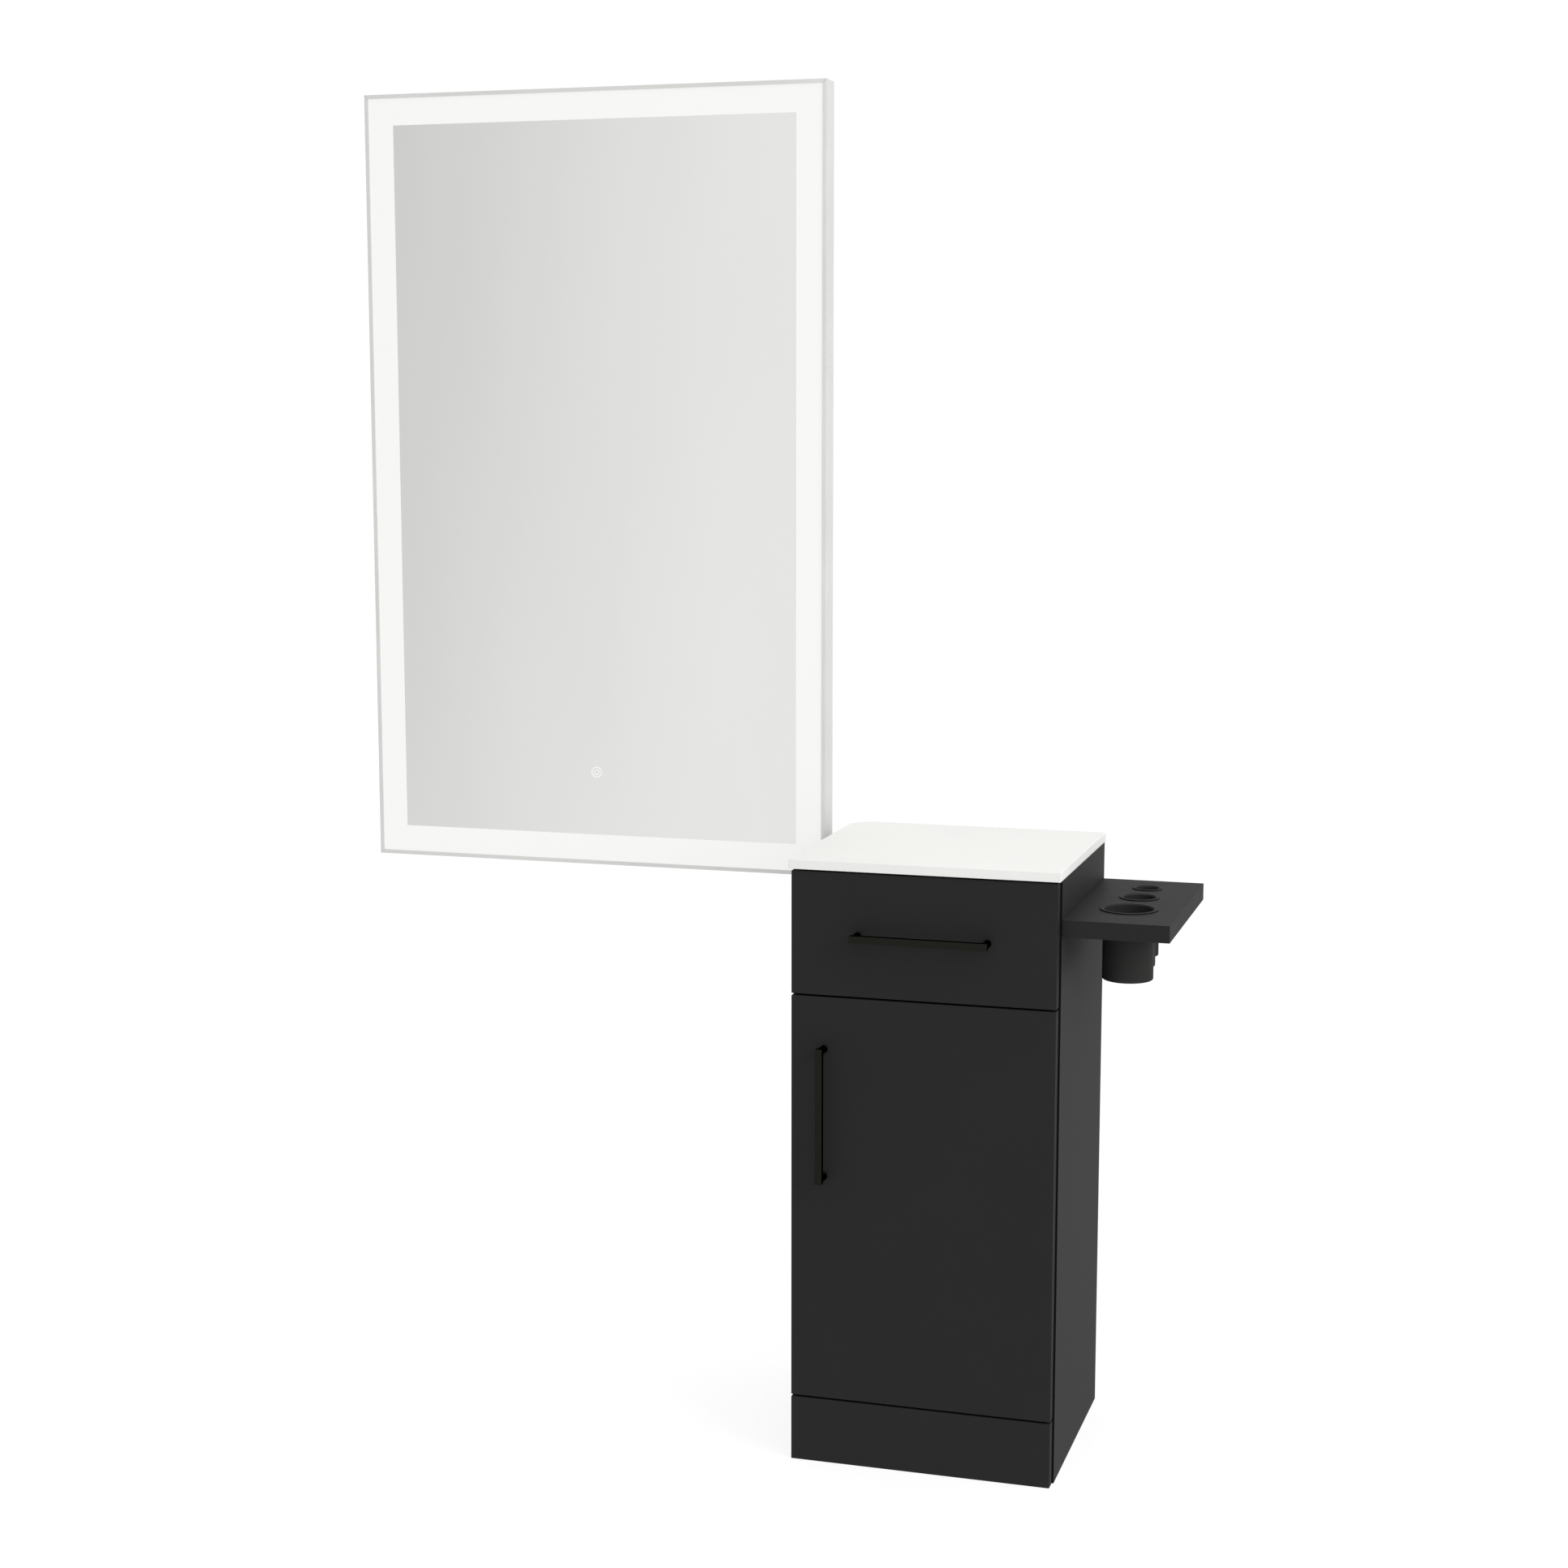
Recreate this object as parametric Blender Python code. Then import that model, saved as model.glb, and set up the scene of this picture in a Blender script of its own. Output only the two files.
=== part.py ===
"""Salon styling station: a narrow cabinet with a drawer, a door and a tool shelf, and a lit wall mirror.

Sizes are in metres. While the parts are placed, x = 0 is the left edge of the cabinet's fronts, y = 0 is the
fronts' outer face and z = 0 is the floor; +Y points into the wall. One empty then shifts everything so that
the origin is below the middle of the whole station.
"""

import math

import bmesh
import bpy
from mathutils import Vector

MM = 0.001
GAP = 0.3 * MM                      # between pieces that touch
BOARD = 18 * MM                     # melamine board
EDGE_ROUND = 0.9 * MM               # rounded edge banding

# Cabinet
WALL_Y = 366 * MM                   # face of the wall behind the station
FRONT_WIDTH = 390.9 * MM
FRONT_REVEAL = 2.55 * MM            # carcass wider than the fronts, each side
CARCASS_FRONT = 20 * MM             # front edges of the side panels
CARCASS_LEFT = -FRONT_REVEAL
CARCASS_RIGHT = FRONT_WIDTH + FRONT_REVEAL
CARCASS_TOP = 894.3 * MM
INNER_LEFT = CARCASS_LEFT + BOARD
INNER_RIGHT = CARCASS_RIGHT - BOARD
KICK_TOP = 97.3 * MM
DOOR_BOTTOM = 100.3 * MM
DOOR_TOP = 707.5 * MM
DRAWER_BOTTOM = 710.5 * MM
DRAWER_TOP = 891.8 * MM
TOP_THICK = 14 * MM
TOP_SIDE_OVERHANG = 1.5 * MM
TOP_FRONT = -3.5 * MM
TOP_CORNER_RADIUS = 38 * MM
TOP_EDGE_ROUND = 0.8 * MM
BOTTOM_LIFT = 2 * MM                # bottom panel above the toe kick's top
RAIL_DEPTH = 80 * MM
BACK_THICK = 6 * MM
WALL_RAIL_HEIGHT = 90 * MM
PLINTH_FRONT = BOARD + GAP
SHELF_TOP = 400 * MM
SHELF_FRONT = 40 * MM
SHELF_SIDE_PLAY = 1 * MM
PIN_RADIUS = 2.5 * MM
PIN_DEPTH = 8 * MM
PIN_OUT = 9 * MM
PIN_ROWS = {"front": 75 * MM, "rear": 300 * MM}
PIN_SIDES = 16

# Pulls
PULL_LENGTH = 202 * MM
PULL_BAR = 10 * MM
PULL_EDGE_ROUND = 0.7 * MM
PULL_FRONT = -30 * MM
POST_RADIUS = 5.6 * MM
DRAWER_PULL_CENTRE = (195.2 * MM, 800.9 * MM)
DOOR_PULL_CENTRE = (49.7 * MM, 535.2 * MM)

# Drawer box and its slides
SLIDE_WIDTH = 12.7 * MM
SLIDE_CENTRE_Z = 772 * MM
SLIDE_FRONT = 24 * MM
SLIDE_LENGTH = 300 * MM
SLIDE_METAL = 1.2 * MM
SLIDE_PLAY = 1.2 * MM
SLIDE_MEMBERS = {                   # web and lips off the side panel's inner face, half height
    "outer": (GAP, 10 * MM, 22.5 * MM),
    "middle": (GAP + SLIDE_METAL + SLIDE_PLAY, 11 * MM, 19.5 * MM),
    "inner": (SLIDE_WIDTH + GAP, 5.2 * MM, 16.5 * MM),
}
BOX_BOARD = 12 * MM
BOX_BACK = 320 * MM
BOX_BOTTOM = 736 * MM
BOX_TOP = 856 * MM
BOX_BOTTOM_THICK = 6 * MM
BOX_LEFT = INNER_LEFT + SLIDE_WIDTH + 2 * GAP
BOX_RIGHT = INNER_RIGHT - SLIDE_WIDTH - 2 * GAP

# Concealed hinges: the link turns on pin A of the arm, and the door turns on pin B of the cup
HINGE_HEIGHTS = {"upper": 607 * MM, "lower": 200 * MM}
PIN_A = Vector((358 * MM, 33 * MM))
PIN_B = Vector((381 * MM, 13.5 * MM))
HINGE_PIN_RADIUS = 1.5 * MM
LINK_BORE_RADIUS = 1.9 * MM
LINK_EYE_RADIUS = 3.4 * MM
LINK_EYE_B_RADIUS = 2.8 * MM
LINK_METAL = 2.4 * MM
LINK_HALF_WIDTH = 5 * MM
LINK_BEND = ((0.6 * MM, 5.9 * MM), (11 * MM, 5.9 * MM), (20 * MM, 3 * MM))
CUP_CENTRE_X = 368.4 * MM
CUP_BORE_RADIUS = 17.5 * MM
CUP_BORE_DEPTH = 12 * MM
CUP_WALL = 0.8 * MM
CUP_EAR = (358 * MM, 378 * MM, 25 * MM)
CUP_EAR_THICK = 1.0 * MM
CUP_PIN_LENGTH = 18.4 * MM          # pin B reaches just into the cup's wall at both ends
ARM_CHEEK = 1.5 * MM
ARM_NOSE_FLAT = 1 * MM              # how far the arm's nose is cut back
ARM_REAR = 84 * MM
ARM_WEB = 3 * MM
EYE_CLEARANCE = 2 * MM              # arm body behind the link's eye
PLATE_FRONT = 38 * MM
PLATE_REAR = 80 * MM
PLATE_HALF_HEIGHT = 25 * MM
PLATE_METAL = 2 * MM

# Tool shelf and cups
TOOL_SHELF_RIGHT = 546 * MM
TOOL_SHELF_BOTTOM = 812 * MM
TOOL_SHELF_TOP = 837 * MM
CUP_DEPTH = 102 * MM
CUP_X = 470.8 * MM
CUPS = {                            # centre y, body radius, flange radius
    "large": (126.4 * MM, 37 * MM, 42 * MM),
    "medium": (221.4 * MM, 25.2 * MM, 29.5 * MM),
    "small": (298.5 * MM, 18.4 * MM, 22.3 * MM),
}
CUP_SIDE = 1.8 * MM
CUP_FLANGE = 2.0 * MM
CUP_PLAY = 0.7 * MM
CUP_FOOT_ROUND = 3.0 * MM
CUP_CHAMFER = 1 * MM
BOLT_YS = (75 * MM, 310 * MM)
BOLT_Z = 824.5 * MM
BOLT_RADIUS = 3 * MM
BOLT_HEAD_RADIUS = 6 * MM
BOLT_HEAD_THICK = 2.5 * MM
BOLT_REACH = 30 * MM
BOLT_ROOT = 1 * MM                  # shank inside the head

# Mirror
MIRROR_LEFT = -803.2 * MM
MIRROR_RIGHT = -41.0 * MM
MIRROR_BOTTOM = 825.3 * MM
MIRROR_TOP = 2043.9 * MM
MIRROR_FRONT = 322.3 * MM
MIRROR_DEPTH = WALL_Y - MIRROR_FRONT
FRAME_LIP = 6.1 * MM
FRAME_METAL = 1.8 * MM
GLASS_FRONT = 2.1 * MM              # behind the frame's front face
GLASS_THICK = 4 * MM
BAND_INNER = 48 * MM                # frame's outer edge to the silvered pane
SEAT_WIDTH = 9 * MM
SEAT_DEPTH = 6.4 * MM
LEDGE_WIDTH = 14 * MM
LEDGE_DEPTH = 30 * MM
PLATE_THICK = 1.2 * MM
PLATE_DEPTH = LEDGE_DEPTH + FRAME_METAL + GAP
LED_INSET = 15 * MM
LED_WIDTH = 10 * MM
LED_THICK = 3 * MM
LED_DEPTH = PLATE_DEPTH - GAP - LED_THICK
DRIVER_HALF_LENGTH = 85 * MM
DRIVER_DEPTH = 12 * MM
DRIVER_RISE = (60 * MM, 105 * MM)   # its bottom and top above the gland
GLAND_RISE = 330 * MM               # above the mirror's bottom edge
GLAND_RADIUS = 8 * MM
GLAND_LENGTH = 7 * MM
GLAND_INSIDE = 4 * MM
GLAND_BORE_RADIUS = 4 * MM
GLAND_NUT_RADIUS = 11 * MM
GLAND_NUT_THICK = 3 * MM
HANGER_OFF_WALL = 1 * MM
CLEAT_LENGTH = 500 * MM
CLEAT_TOP_Z = 1900 * MM
CLEAT_HEIGHT = 35 * MM
CLEAT_THICK = 9.5 * MM
CLEAT_SLOPE = 6 * MM                # rise of the cleat's lip over its back edge
TOUCH_Z = 974.6 * MM
TOUCH_RADIUS = 12 * MM
TOUCH_THICK = 6 * MM

STATION_CENTRE = Vector((
    (MIRROR_LEFT + TOOL_SHELF_RIGHT) / 2,
    (PULL_FRONT + WALL_Y) / 2,
    0,
))

COLOURS = {                         # colour, roughness, metallic
    "black_board": ((0.024, 0.024, 0.024), 0.55, 0.0),
    "white_top": ((0.85, 0.85, 0.84), 0.3, 0.0),
    "black_metal": ((0.014, 0.014, 0.012), 0.45, 0.6),
    "black_plastic": ((0.018, 0.018, 0.018), 0.5, 0.0),
    "grey_board": ((0.3, 0.3, 0.3), 0.6, 0.0),
    "zinc": ((0.55, 0.56, 0.57), 0.35, 1.0),
    "frame_metal": ((0.72, 0.72, 0.71), 0.4, 0.6),
    "frosted": ((0.93, 0.93, 0.91), 0.6, 0.0),
    "mirror": ((0.8, 0.8, 0.8), 0.05, 1.0),
    "white_plastic": ((0.8, 0.8, 0.78), 0.5, 0.0),
}


def clear_scene():
    for old in list(bpy.data.objects):
        bpy.data.objects.remove(old, do_unlink=True)


def make_material(name):
    colour, roughness, metallic = COLOURS[name]
    made = bpy.data.materials.new(name)
    made.use_nodes = True
    shader = made.node_tree.nodes["Principled BSDF"]
    shader.inputs["Base Color"].default_value = (*colour, 1)
    shader.inputs["Roughness"].default_value = roughness
    shader.inputs["Metallic"].default_value = metallic
    return made


def make_empty(name, place, parent=None):
    """An empty at a place of the station, on a joint's axis where a body moves."""
    made = bpy.data.objects.new(name, None)
    made.empty_display_size = 0.03
    bpy.context.scene.collection.objects.link(made)
    made["place"] = list(place)
    made.parent = parent
    above = Vector(parent["place"]) if parent else Vector((0, 0, 0))
    made.location = Vector(place) - above
    return made


def add_object(name, mesh, centre, parent, look):
    """A named sub-part whose mesh is centred on `centre`, hung on the parent empty."""
    made = bpy.data.objects.new(name, mesh)
    bpy.context.scene.collection.objects.link(made)
    made.parent = parent
    made.location = Vector(centre) - Vector(parent["place"])
    made.data.materials.append(bpy.data.materials[look])
    return made


def mesh_from(name, work):
    bmesh.ops.recalc_face_normals(work, faces=work.faces)
    mesh = bpy.data.meshes.new(name)
    work.to_mesh(mesh)
    work.free()
    return mesh


def round_edges(made, width=EDGE_ROUND, segments=2):
    bevel = made.modifiers.new("rounded_edges", "BEVEL")
    bevel.width = width
    bevel.segments = segments
    bevel.limit_method = "ANGLE"
    bevel.angle_limit = math.radians(40)
    return made


def box(name, low, high, parent, look):
    """A board or block between two corners."""
    size = Vector(high) - Vector(low)
    work = bmesh.new()
    bmesh.ops.create_cube(work, size=1.0)
    bmesh.ops.scale(work, vec=size, verts=work.verts)
    return add_object(name, mesh_from(name, work), (Vector(low) + Vector(high)) / 2, parent, look)


def extruded(name, outline, start, end, axis, parent, look):
    """An outline extruded along an axis: (x, y) along Z, (x, z) along Y or (y, z) along X."""
    first = Vector(outline[0])
    middle = (start + end) / 2
    centre = {"Z": (*first, middle), "Y": (first[0], middle, first[1]), "X": (middle, *first)}[axis]
    work = bmesh.new()
    rings = []
    for offset in (start - middle, end - middle):
        ring = []
        for point in outline:
            across = Vector(point) - first
            place = {
                "Z": (*across, offset),
                "Y": (across[0], offset, across[1]),
                "X": (offset, *across),
            }[axis]
            ring.append(work.verts.new(place))
        rings.append(ring)
    close_rings(work, rings)
    return add_object(name, mesh_from(name, work), centre, parent, look)


def close_rings(work, rings):
    """Side faces between the two rings, and a cap on each."""
    count = len(rings[0])
    for index in range(count):
        after = (index + 1) % count
        work.faces.new((rings[0][index], rings[0][after], rings[1][after], rings[1][index]))
    work.faces.new(rings[0])
    work.faces.new(rings[1])


def rod(name, centre, radius, length, axis, parent, look, sides=24):
    """A round bar, its middle at `centre`."""
    work = bmesh.new()
    bmesh.ops.create_cone(
        work, cap_ends=True, segments=sides, radius1=radius, radius2=radius, depth=length
    )
    made = add_object(name, mesh_from(name, work), centre, parent, look)
    turn = {"X": (0, math.pi / 2, 0), "Y": (math.pi / 2, 0, 0), "Z": (0, 0, 0)}[axis]
    made.rotation_euler = turn
    made.data.shade_smooth()
    made.data.set_sharp_from_angle(angle=math.radians(35))
    return made


def turned(name, profile, centre, parent, look, sides=48):
    """A profile of (radius, height) points, from axis to axis, turned about a vertical axis."""
    work = bmesh.new()
    rings = []
    for radius, height in profile:
        if radius == 0:
            rings.append([work.verts.new((0, 0, height))])
            continue
        angles = [2 * math.pi * step / sides for step in range(sides)]
        rings.append([
            work.verts.new((radius * math.cos(a), radius * math.sin(a), height)) for a in angles
        ])
    for lower, upper in zip(rings, rings[1:]):
        for step in range(sides):
            after = (step + 1) % sides
            corners = [lower[step % len(lower)], lower[after % len(lower)],
                       upper[after % len(upper)], upper[step % len(upper)]]
            work.faces.new(list(dict.fromkeys(corners)))
    made = add_object(name, mesh_from(name, work), centre, parent, look)
    made.data.shade_smooth()
    made.data.set_sharp_from_angle(angle=math.radians(35))
    return made


def combine(made, other, operation):
    """Cuts the other shape out of a sub-part, or joins it on, and keeps it as a hidden guide."""
    boolean = made.modifiers.new(f"{operation.lower()}_{other.name}", "BOOLEAN")
    boolean.operation = operation
    boolean.object = other
    boolean.solver = "EXACT"
    other.hide_render = True
    other.display_type = "WIRE"


def arc(centre, radius, start, end, steps):
    """Points round part of a circle; angles in degrees."""
    points = []
    for step in range(steps + 1):
        angle = math.radians(start + (end - start) * step / steps)
        points.append((centre[0] + radius * math.cos(angle), centre[1] + radius * math.sin(angle)))
    return points


def thick_path(points, width):
    """The outline of a strip of constant width along a bent centre line."""
    path = [Vector(point) for point in points]
    left, right = [], []
    for index, point in enumerate(path):
        before = (point - path[index - 1]).normalized() if index else None
        after = (path[index + 1] - point).normalized() if index + 1 < len(path) else None
        along = ((before or after) + (after or before)).normalized()
        side = Vector((-along.y, along.x))
        flat = after or before
        reach = width / 2 / max(side.dot(Vector((-flat.y, flat.x))), 0.5)
        left.append(point + side * reach)
        right.append(point - side * reach)
    return [tuple(point) for point in left + right[::-1]]


def build_carcass(root):
    """Side panels, rails, bottom, back and toe kick; returns the front face of the back panel."""
    sides = {"left": (CARCASS_LEFT, INNER_LEFT), "right": (INNER_RIGHT, CARCASS_RIGHT)}
    panels = {}
    for side, (near, far) in sides.items():
        panels[side] = box(f"side_panel_{side}", (near, CARCASS_FRONT, 0), (far, WALL_Y, CARCASS_TOP),
                           root, "black_board")
    for index, y in enumerate(BOLT_YS):
        hole = rod(f"cut_side_bolt_{index}", (INNER_RIGHT, y, BOLT_Z), BOLT_RADIUS + GAP,
                   3 * BOARD, "X", root, "black_board")
        combine(panels["right"], hole, "DIFFERENCE")
    for panel in panels.values():
        round_edges(panel)
    left, right = INNER_LEFT + GAP, INNER_RIGHT - GAP
    bottom_low = KICK_TOP + BOTTOM_LIFT
    back_low = bottom_low + BOARD + GAP
    back_front = WALL_Y - BOARD - GAP - BACK_THICK
    boards = {
        "bottom_panel": ((left, CARCASS_FRONT, bottom_low), (right, WALL_Y, bottom_low + BOARD)),
        "divider_rail": ((left, CARCASS_FRONT, DOOR_TOP - BOARD / 2),
                         (right, CARCASS_FRONT + RAIL_DEPTH, DOOR_TOP + BOARD / 2)),
        "top_rail_front": ((left, CARCASS_FRONT, CARCASS_TOP - BOARD),
                           (right, CARCASS_FRONT + RAIL_DEPTH, CARCASS_TOP)),
        "wall_rail": ((left, WALL_Y - BOARD, CARCASS_TOP - WALL_RAIL_HEIGHT),
                      (right, WALL_Y, CARCASS_TOP)),
        "back_panel": ((left, back_front, back_low), (right, back_front + BACK_THICK, CARCASS_TOP)),
        "plinth_rail_front": ((left, PLINTH_FRONT, GAP), (right, PLINTH_FRONT + BOARD, KICK_TOP)),
        "plinth_rail_rear": ((left, WALL_Y - BOARD, GAP), (right, WALL_Y, bottom_low - GAP)),
    }
    for name, (low, high) in boards.items():
        box(name, low, high, root, "black_board")
    round_edges(box("toe_kick_panel", (0, 0, 0), (FRONT_WIDTH, BOARD, KICK_TOP), root, "black_board"))
    return back_front


def build_countertop(root):
    left, right = CARCASS_LEFT - TOP_SIDE_OVERHANG, CARCASS_RIGHT + TOP_SIDE_OVERHANG
    corner = (left + TOP_CORNER_RADIUS, WALL_Y - TOP_CORNER_RADIUS)
    outline = [(left, TOP_FRONT), (right, TOP_FRONT), (right, WALL_Y)]
    outline += arc(corner, TOP_CORNER_RADIUS, 90, 180, 12)
    low = CARCASS_TOP + GAP
    top = extruded("countertop", outline, low, low + TOP_THICK, "Z", root, "white_top")
    round_edges(top, TOP_EDGE_ROUND)


def build_inner_shelf(root, back_front):
    left, right = INNER_LEFT + SHELF_SIDE_PLAY, INNER_RIGHT - SHELF_SIDE_PLAY
    back = back_front - SHELF_SIDE_PLAY
    box("adjustable_shelf", (left, SHELF_FRONT, SHELF_TOP - BOARD), (right, back, SHELF_TOP),
        root, "black_board")
    pin_z = SHELF_TOP - BOARD - GAP - PIN_RADIUS
    for side, wall, inward in (("left", INNER_LEFT, 1), ("right", INNER_RIGHT, -1)):
        panel = bpy.data.objects[f"side_panel_{side}"]
        for row, y in PIN_ROWS.items():
            length = PIN_DEPTH + PIN_OUT
            centre = (wall + inward * (length / 2 - PIN_DEPTH), y, pin_z)
            rod(f"shelf_pin_{side}_{row}", centre, PIN_RADIUS, length, "X", root, "zinc", PIN_SIDES)
            hole = rod(f"cut_pin_{side}_{row}", (wall, y, pin_z), PIN_RADIUS + GAP,
                       2 * (PIN_DEPTH + GAP), "X", root, "zinc", PIN_SIDES)
            combine(panel, hole, "DIFFERENCE")


def build_pull(name, centre, upright, parent):
    """A square bar on two round posts; it lies along X, or along Z where it is upright."""
    half, thick = PULL_LENGTH / 2, PULL_BAR / 2
    along, across = (thick, half) if upright else (half, thick)
    back = PULL_FRONT + PULL_BAR
    bar = box(f"{name}_bar", (centre[0] - along, PULL_FRONT, centre[1] - across),
              (centre[0] + along, back, centre[1] + across), parent, "black_metal")
    round_edges(bar, PULL_EDGE_ROUND)
    reach = half - POST_RADIUS
    if upright:
        ends = {"lower": (0, -reach), "upper": (0, reach)}
    else:
        ends = {"left": (-reach, 0), "right": (reach, 0)}
    for end, (dx, dz) in ends.items():
        post = (centre[0] + dx, back / 2, centre[1] + dz)
        rod(f"{name}_post_{end}", post, POST_RADIUS, -back - 2 * GAP, "Y", parent, "black_metal")


def slide_channel(x_back, x_open, half_height, z):
    """The C section of a slide member, its web at x_back and its lips reaching to x_open."""
    inward = SLIDE_METAL if x_open > x_back else -SLIDE_METAL
    inner = half_height - SLIDE_METAL
    return [
        (x_back, z - half_height), (x_open, z - half_height), (x_open, z - inner),
        (x_back + inward, z - inner), (x_back + inward, z + inner), (x_open, z + inner),
        (x_open, z + half_height), (x_back, z + half_height),
    ]


def build_slides(root, middles, drawer):
    """Three members a side, each nested in the last: to the cabinet, between, and on the drawer."""
    rear = SLIDE_FRONT + SLIDE_LENGTH
    for side, wall, inward in (("left", INNER_LEFT, 1), ("right", INNER_RIGHT, -1)):
        parents = {"outer": root, "middle": middles[side], "inner": drawer}
        for member, (web, lip, half) in SLIDE_MEMBERS.items():
            section = slide_channel(wall + inward * web, wall + inward * lip, half, SLIDE_CENTRE_Z)
            extruded(f"drawer_slide_{member}_{side}", section, SLIDE_FRONT, rear, "Y",
                     parents[member], "zinc")


def build_drawer(drawer):
    """The drawer's front, its box of five boards, and its pull."""
    front = box("drawer_front", (0, 0, DRAWER_BOTTOM), (FRONT_WIDTH, BOARD, DRAWER_TOP),
                drawer, "black_board")
    round_edges(front)
    box_front = BOARD + GAP
    inner_left, inner_right = BOX_LEFT + BOX_BOARD + GAP, BOX_RIGHT - BOX_BOARD - GAP
    floor = BOX_BOTTOM + BOX_BOTTOM_THICK
    pieces = {
        "drawer_side_left": ((BOX_LEFT, box_front, BOX_BOTTOM),
                             (BOX_LEFT + BOX_BOARD, BOX_BACK, BOX_TOP)),
        "drawer_side_right": ((BOX_RIGHT - BOX_BOARD, box_front, BOX_BOTTOM),
                              (BOX_RIGHT, BOX_BACK, BOX_TOP)),
        "drawer_box_front": ((inner_left, box_front, BOX_BOTTOM),
                             (inner_right, box_front + BOX_BOARD, BOX_TOP)),
        "drawer_box_back": ((inner_left, BOX_BACK - BOX_BOARD, BOX_BOTTOM),
                            (inner_right, BOX_BACK, BOX_TOP)),
        "drawer_bottom": ((inner_left, box_front + BOX_BOARD + GAP, BOX_BOTTOM),
                          (inner_right, BOX_BACK - BOX_BOARD - GAP, floor)),
    }
    for name, (low, high) in pieces.items():
        box(name, low, high, drawer, "grey_board")
    build_pull("drawer_pull", DRAWER_PULL_CENTRE, False, drawer)


def build_door(door):
    """The door with its hinge bores, and its pull."""
    panel = box("door_panel", (0, 0, DOOR_BOTTOM), (FRONT_WIDTH, BOARD, DOOR_TOP), door,
                "black_board")
    for level, z in HINGE_HEIGHTS.items():
        bore = rod(f"cut_hinge_{level}", (CUP_CENTRE_X, BOARD, z), CUP_BORE_RADIUS,
                   2 * CUP_BORE_DEPTH, "Y", door, "black_board", 48)
        combine(panel, bore, "DIFFERENCE")
    round_edges(panel)
    build_pull("door_pull", DOOR_PULL_CENTRE, True, door)


def build_hinge_cup(level, z, door):
    """A shallow pressed cup with two screw ears, and the pin that the link turns on."""
    floor_y = BOARD - CUP_BORE_DEPTH + GAP
    rim_y = BOARD + GAP
    ear_y = rim_y + CUP_EAR_THICK
    radius = CUP_BORE_RADIUS - GAP
    cup = rod(f"hinge_cup_{level}", (CUP_CENTRE_X, (floor_y + ear_y) / 2, z), radius,
              ear_y - floor_y, "Y", door, "zinc", 48)
    ear_left, ear_right, ear_reach = CUP_EAR
    ears = box(f"join_ears_{level}", (ear_left, rim_y, z - ear_reach),
               (ear_right, ear_y, z + ear_reach), door, "zinc")
    hollow_low = floor_y + CUP_WALL
    hollow = rod(f"cut_cup_{level}", (CUP_CENTRE_X, (hollow_low + 2 * BOARD) / 2, z),
                 radius - CUP_WALL, 2 * BOARD - hollow_low, "Y", door, "zinc", 48)
    trim = box(f"cut_rim_{level}", (ear_right, BOARD - CUP_WALL, z - ear_reach),
               (ear_right + BOARD, 2 * BOARD, z + ear_reach), door, "zinc")
    pin = rod(f"join_pin_b_{level}", (*PIN_B, z), HINGE_PIN_RADIUS, CUP_PIN_LENGTH, "Z",
              door, "zinc", PIN_SIDES)
    combine(cup, ears, "UNION")
    combine(cup, hollow, "DIFFERENCE")
    combine(cup, trim, "DIFFERENCE")
    combine(cup, pin, "UNION")


def build_hinge_link(level, z, parent):
    """The bent link, with an eye on each pin; it folds into the cup when the door is shut."""
    along = (PIN_A - PIN_B).normalized()
    bulge = Vector((-along.y, along.x))
    points = [PIN_B] + [PIN_B + along * u + bulge * v for u, v in LINK_BEND] + [PIN_A]
    low, high = z - LINK_HALF_WIDTH, z + LINK_HALF_WIDTH
    width = high - low
    outline = thick_path(points, LINK_METAL)
    link = extruded(f"hinge_link_{level}", outline, low, high, "Z", parent, "zinc")
    for end, pin, radius in (("a", PIN_A, LINK_EYE_RADIUS), ("b", PIN_B, LINK_EYE_B_RADIUS)):
        eye = rod(f"join_eye_{end}_{level}", (*pin, z), radius, width, "Z", parent, "zinc")
        combine(link, eye, "UNION")
    for end, pin in (("a", PIN_A), ("b", PIN_B)):
        bore = rod(f"cut_eye_{end}_{level}", (*pin, z), LINK_BORE_RADIUS, 3 * width, "Z",
                   parent, "zinc")
        combine(link, bore, "DIFFERENCE")


def build_hinge_arm(level, z, root):
    """The arm screwed to the side panel; its two cheeks hold pin A."""
    wall = INNER_RIGHT - GAP
    inner = LINK_HALF_WIDTH + GAP
    outer = inner + ARM_CHEEK
    nose = LINK_EYE_RADIUS + ARM_CHEEK
    body_front = PIN_A.y + LINK_EYE_RADIUS + EYE_CLEARANCE
    arm = box(f"hinge_arm_{level}", (PIN_A.x - nose, PIN_A.y - nose + ARM_NOSE_FLAT, z - outer),
              (wall, ARM_REAR, z + outer), root, "zinc")
    plate = box(f"join_plate_{level}", (wall - PLATE_METAL, PLATE_FRONT, z - PLATE_HALF_HEIGHT),
                (wall, PLATE_REAR, z + PLATE_HALF_HEIGHT), root, "zinc")
    slot = box(f"cut_slot_{level}", (PIN_A.x - BOARD, 0, z - inner),
               (wall - ARM_WEB, body_front, z + inner), root, "zinc")
    relief = box(f"cut_relief_{level}", (PIN_A.x + nose, 0, z - 2 * outer),
                 (wall + BOARD, body_front, z + 2 * outer), root, "zinc")
    pin = rod(f"join_pin_a_{level}", (*PIN_A, z), HINGE_PIN_RADIUS, 2 * inner + ARM_CHEEK, "Z",
              root, "zinc", PIN_SIDES)
    combine(arm, slot, "DIFFERENCE")
    combine(arm, relief, "DIFFERENCE")
    combine(arm, plate, "UNION")
    combine(arm, pin, "UNION")


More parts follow.
